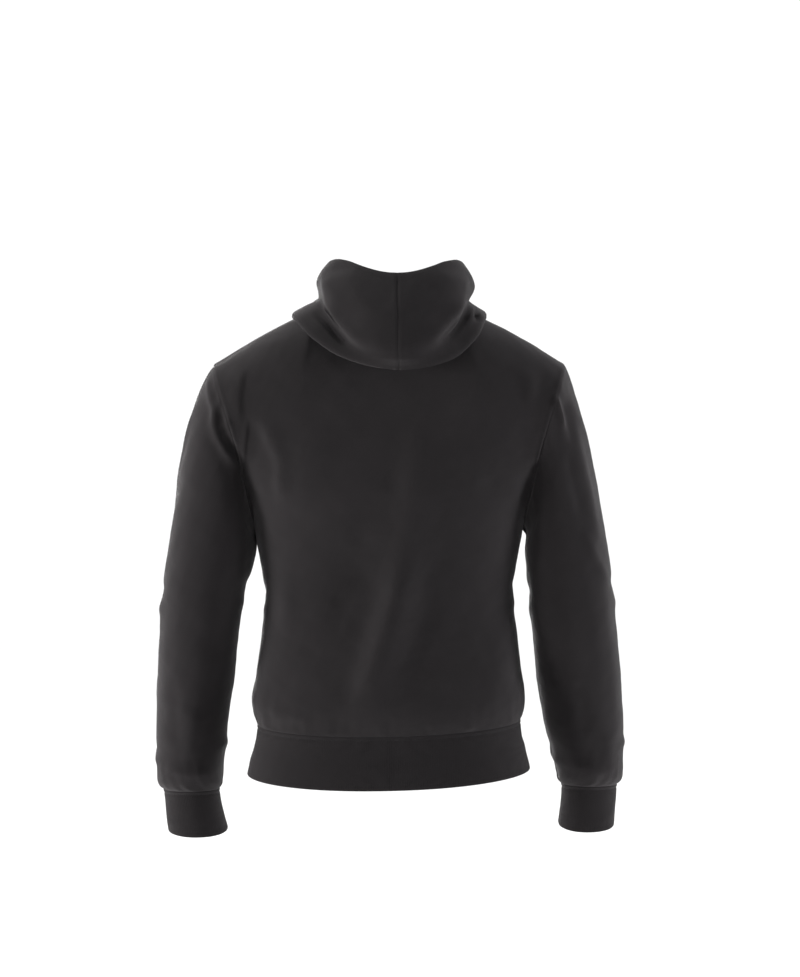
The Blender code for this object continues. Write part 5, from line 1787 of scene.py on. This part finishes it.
# ---------------------------------------------------------------- the stage
CAMERA_PLACE = (-0.0154, 3.0, -0.2597)
PIXEL = 0.0014  # of the photograph, in metres at the origin's depth
PHOTO_HEIGHT = 977
SENSOR = 36.0
LIGHTS_AIM = (0, 0, -0.3)
LIGHTS = (
    # name, place, size, power in watts, colour
    ("key", (3.5, 1.0, -0.3), 1.2, 620.0, (1.0, 0.995, 0.985)),
    ("fill", (-3.5, 1.0, -0.3), 1.3, 420.0, (0.985, 0.99, 1.0)),
    ("rim_left", (2.2, -2.2, -0.1), 1.2, 60.0, (1.0, 1.0, 1.0)),
    ("rim_right", (-2.2, -2.2, -0.1), 1.2, 60.0, (1.0, 1.0, 1.0)),
    ("front", (0.9, -3.0, 0.1), 1.4, 200.0, (1.0, 0.995, 0.985)),
)


def make_camera():
    data = bpy.data.cameras.new("camera")
    data.sensor_width = SENSOR
    data.lens = SENSOR * CAMERA_PLACE[1] / (PHOTO_HEIGHT * PIXEL)
    camera = bpy.data.objects.new("camera", data)
    camera.location = CAMERA_PLACE
    camera.rotation_euler = (math.pi / 2, 0.0, math.pi)
    bpy.context.scene.collection.objects.link(camera)
    bpy.context.scene.camera = camera


def make_light(name, place, size, power, colour):
    data = bpy.data.lights.new(name, "AREA")
    data.shape, data.size, data.energy, data.color = "DISK", size, power, colour
    lamp = bpy.data.objects.new(name, data)
    lamp.location = place
    lamp.rotation_euler = (Vector(LIGHTS_AIM) - Vector(place)).to_track_quat("-Z", "Y").to_euler()
    bpy.context.scene.collection.objects.link(lamp)


def make_world(strength):
    world = bpy.data.worlds.new("studio")
    world.use_nodes = True
    background = world.node_tree.nodes["Background"]
    background.inputs["Color"].default_value = (1.0, 1.0, 1.0, 1.0)
    background.inputs["Strength"].default_value = strength
    bpy.context.scene.world = world


def make_floor(drop, colour):
    floor = primitive("circle", "studio_floor", (0, 0, -drop), vertices=96, radius=14.0, fill_type="NGON")
    floor.data.materials.append(floor_finish(colour))


# ---------------------------------------------------------------- the add-on's settings
def colour_setting(name, description, default):
    return bpy.props.FloatVectorProperty(
        name=name, description=description, default=default, size=3, min=0.0, max=1.0, subtype="COLOR"
    )


class HoodieColours(bpy.types.PropertyGroup):
    fleece: colour_setting("Fleece", "Colour of the body, sleeves and hood", (0.0028, 0.0024, 0.0026))
    rib: colour_setting("Rib", "Colour of the waistband and cuffs", (0.0028, 0.0024, 0.0026))
    tape: colour_setting("Zip tape", "Colour of the woven tapes", (0.0034, 0.0031, 0.0032))
    metal: colour_setting("Zip metal", "Colour of the teeth, slider and pull", (0.062, 0.060, 0.060))
    bloom: bpy.props.FloatProperty(
        name="Bloom", description="How pale the fuzz turns at a glance", default=0.042, min=0.0, max=1.0
    )


class HoodieCloth(bpy.types.PropertyGroup):
    crease: bpy.props.FloatProperty(
        name="Creases", description="Height of all folds: 1 is as worn", default=1.0, min=0.0, max=1.5
    )


class HoodieZip(bpy.types.PropertyGroup):
    tooth_pitch: bpy.props.FloatProperty(
        name="Tooth pitch",
        description="From one tooth to the next on the same side",
        default=0.0027,
        min=0.0022,
        max=0.004,
        unit="LENGTH",
        precision=4,
    )


class HoodieStage(bpy.types.PropertyGroup):
    floor_drop: bpy.props.FloatProperty(
        name="Floor", description="Its depth below the neck", default=1.45, min=0.9, unit="LENGTH"
    )
    floor_colour: colour_setting("Floor colour", "Colour of the plain floor", (0.97, 0.97, 0.97))
    surround: bpy.props.FloatProperty(
        name="Surround", description="Strength of the even light from all round", default=1.04, min=0.0
    )


# ---------------------------------------------------------------- the add-on's steps
class HOODIE_OT_stage(bpy.types.Operator):
    """Sets up the camera, the lights and the floor"""

    bl_idname = "hoodie.stage"
    bl_label = "Stage"

    def execute(self, context):
        settings = context.scene.hoodie_stage
        context.scene.view_settings.view_transform = "Standard"
        make_camera()
        make_world(settings.surround)
        make_floor(settings.floor_drop, settings.floor_colour)
        for light in LIGHTS:
            make_light(*light)
        return {"FINISHED"}


class HOODIE_OT_body(bpy.types.Operator):
    """Makes the back and the two fronts"""

    bl_idname = "hoodie.body"
    bl_label = "Back and fronts"

    def execute(self, context):
        for name in ("back", "front_left", "front_right"):
            cloth_piece(dressed()[name], "fleece")
        return {"FINISHED"}


class HOODIE_OT_sleeves(bpy.types.Operator):
    """Makes the two sleeves"""

    bl_idname = "hoodie.sleeves"
    bl_label = "Sleeves"

    def execute(self, context):
        for side in SIDES:
            cloth_piece(dressed()[f"sleeve_{side}"], "fleece")
        return {"FINISHED"}


class HOODIE_OT_hood(bpy.types.Operator):
    """Makes the two halves of the hood, lying down"""

    bl_idname = "hoodie.hood"
    bl_label = "Hood"

    def execute(self, context):
        for side in SIDES:
            cloth_piece(dressed()[f"hood_{side}"], "fleece")
        return {"FINISHED"}


class HOODIE_OT_ribbing(bpy.types.Operator):
    """Makes the waistband and the cuffs in rib knit"""

    bl_idname = "hoodie.ribbing"
    bl_label = "Waistband and cuffs"

    def execute(self, context):
        for name in RIB_PIECES:
            cloth_piece(dressed()[name], "rib")
        return {"FINISHED"}


class HOODIE_OT_stitching(bpy.types.Operator):
    """Lays the stitches along the hems, the rib seams and the zip"""

    bl_idname = "hoodie.stitching"
    bl_label = "Stitching"

    def execute(self, context):
        for name in RIB_PIECES:
            stitches(dressed()[name], "head", SEAM_TO_STITCH)
        for side in SIDES:
            stitches(dressed()[f"hood_{side}"], "head", HOOD_HEM)
            stitches(dressed()[f"front_{side}"], "start", FRONT_STITCH)
        return {"FINISHED"}


class HOODIE_OT_zip_tapes(bpy.types.Operator):
    """Makes the woven tapes of the zip"""

    bl_idname = "hoodie.zip_tapes"
    bl_label = "Zip tapes"

    def execute(self, context):
        for side in SIDES.items():
            tape_piece(*side)
        return {"FINISHED"}


class HOODIE_OT_zip_teeth(bpy.types.Operator):
    """Makes both rows of teeth"""

    bl_idname = "hoodie.zip_teeth"
    bl_label = "Zip teeth"

    def execute(self, context):
        teeth()
        return {"FINISHED"}


class HOODIE_OT_zip_slider(bpy.types.Operator):
    """Makes the slider with its bail"""

    bl_idname = "hoodie.zip_slider"
    bl_label = "Zip slider"

    def execute(self, context):
        slider()
        return {"FINISHED"}


class HOODIE_OT_zip_pull(bpy.types.Operator):
    """Makes the pull tab, which hinges under the bail"""

    bl_idname = "hoodie.zip_pull"
    bl_label = "Zip pull"

    def execute(self, context):
        pull_tab()
        return {"FINISHED"}


class HOODIE_OT_zip_ends(bpy.types.Operator):
    """Makes the two top stops and the box at the foot"""

    bl_idname = "hoodie.zip_ends"
    bl_label = "Zip stops and box"

    def execute(self, context):
        for side in SIDES.items():
            top_stop(*side)
        zip_foot()
        return {"FINISHED"}


STEPS = (
    HOODIE_OT_stage,
    HOODIE_OT_body,
    HOODIE_OT_sleeves,
    HOODIE_OT_hood,
    HOODIE_OT_ribbing,
    HOODIE_OT_stitching,
    HOODIE_OT_zip_tapes,
    HOODIE_OT_zip_teeth,
    HOODIE_OT_zip_slider,
    HOODIE_OT_zip_pull,
    HOODIE_OT_zip_ends,
)


class HOODIE_PT_panel(bpy.types.Panel):
    """The hoodie's settings and its steps in order"""

    bl_idname = "HOODIE_PT_panel"
    bl_label = "Hoodie"
    bl_space_type = "VIEW_3D"
    bl_region_type = "UI"
    bl_category = "Hoodie"

    def draw(self, context):
        for settings in SETTINGS:
            group = getattr(context.scene, settings)
            box = self.layout.box()
            for name in group.bl_rna.properties.keys():
                if name not in ("rna_type", "name"):
                    box.prop(group, name)
        for step in STEPS:
            self.layout.operator(step.bl_idname)


SETTINGS = {
    "hoodie_colours": HoodieColours,
    "hoodie_cloth": HoodieCloth,
    "hoodie_zip": HoodieZip,
    "hoodie_stage": HoodieStage,
}


def register():
    for made in (*SETTINGS.values(), *STEPS, HOODIE_PT_panel):
        bpy.utils.register_class(made)
    for name, group in SETTINGS.items():
        setattr(bpy.types.Scene, name, bpy.props.PointerProperty(type=group))


def unregister():
    for name in SETTINGS:
        delattr(bpy.types.Scene, name)
    for made in (HOODIE_PT_panel, *reversed(STEPS), *reversed(list(SETTINGS.values()))):
        bpy.utils.unregister_class(made)


def main():
    register()
    for step in STEPS:
        family, name = step.bl_idname.split(".")
        getattr(getattr(bpy.ops, family), name)()


if __name__ == "__main__":
    main()
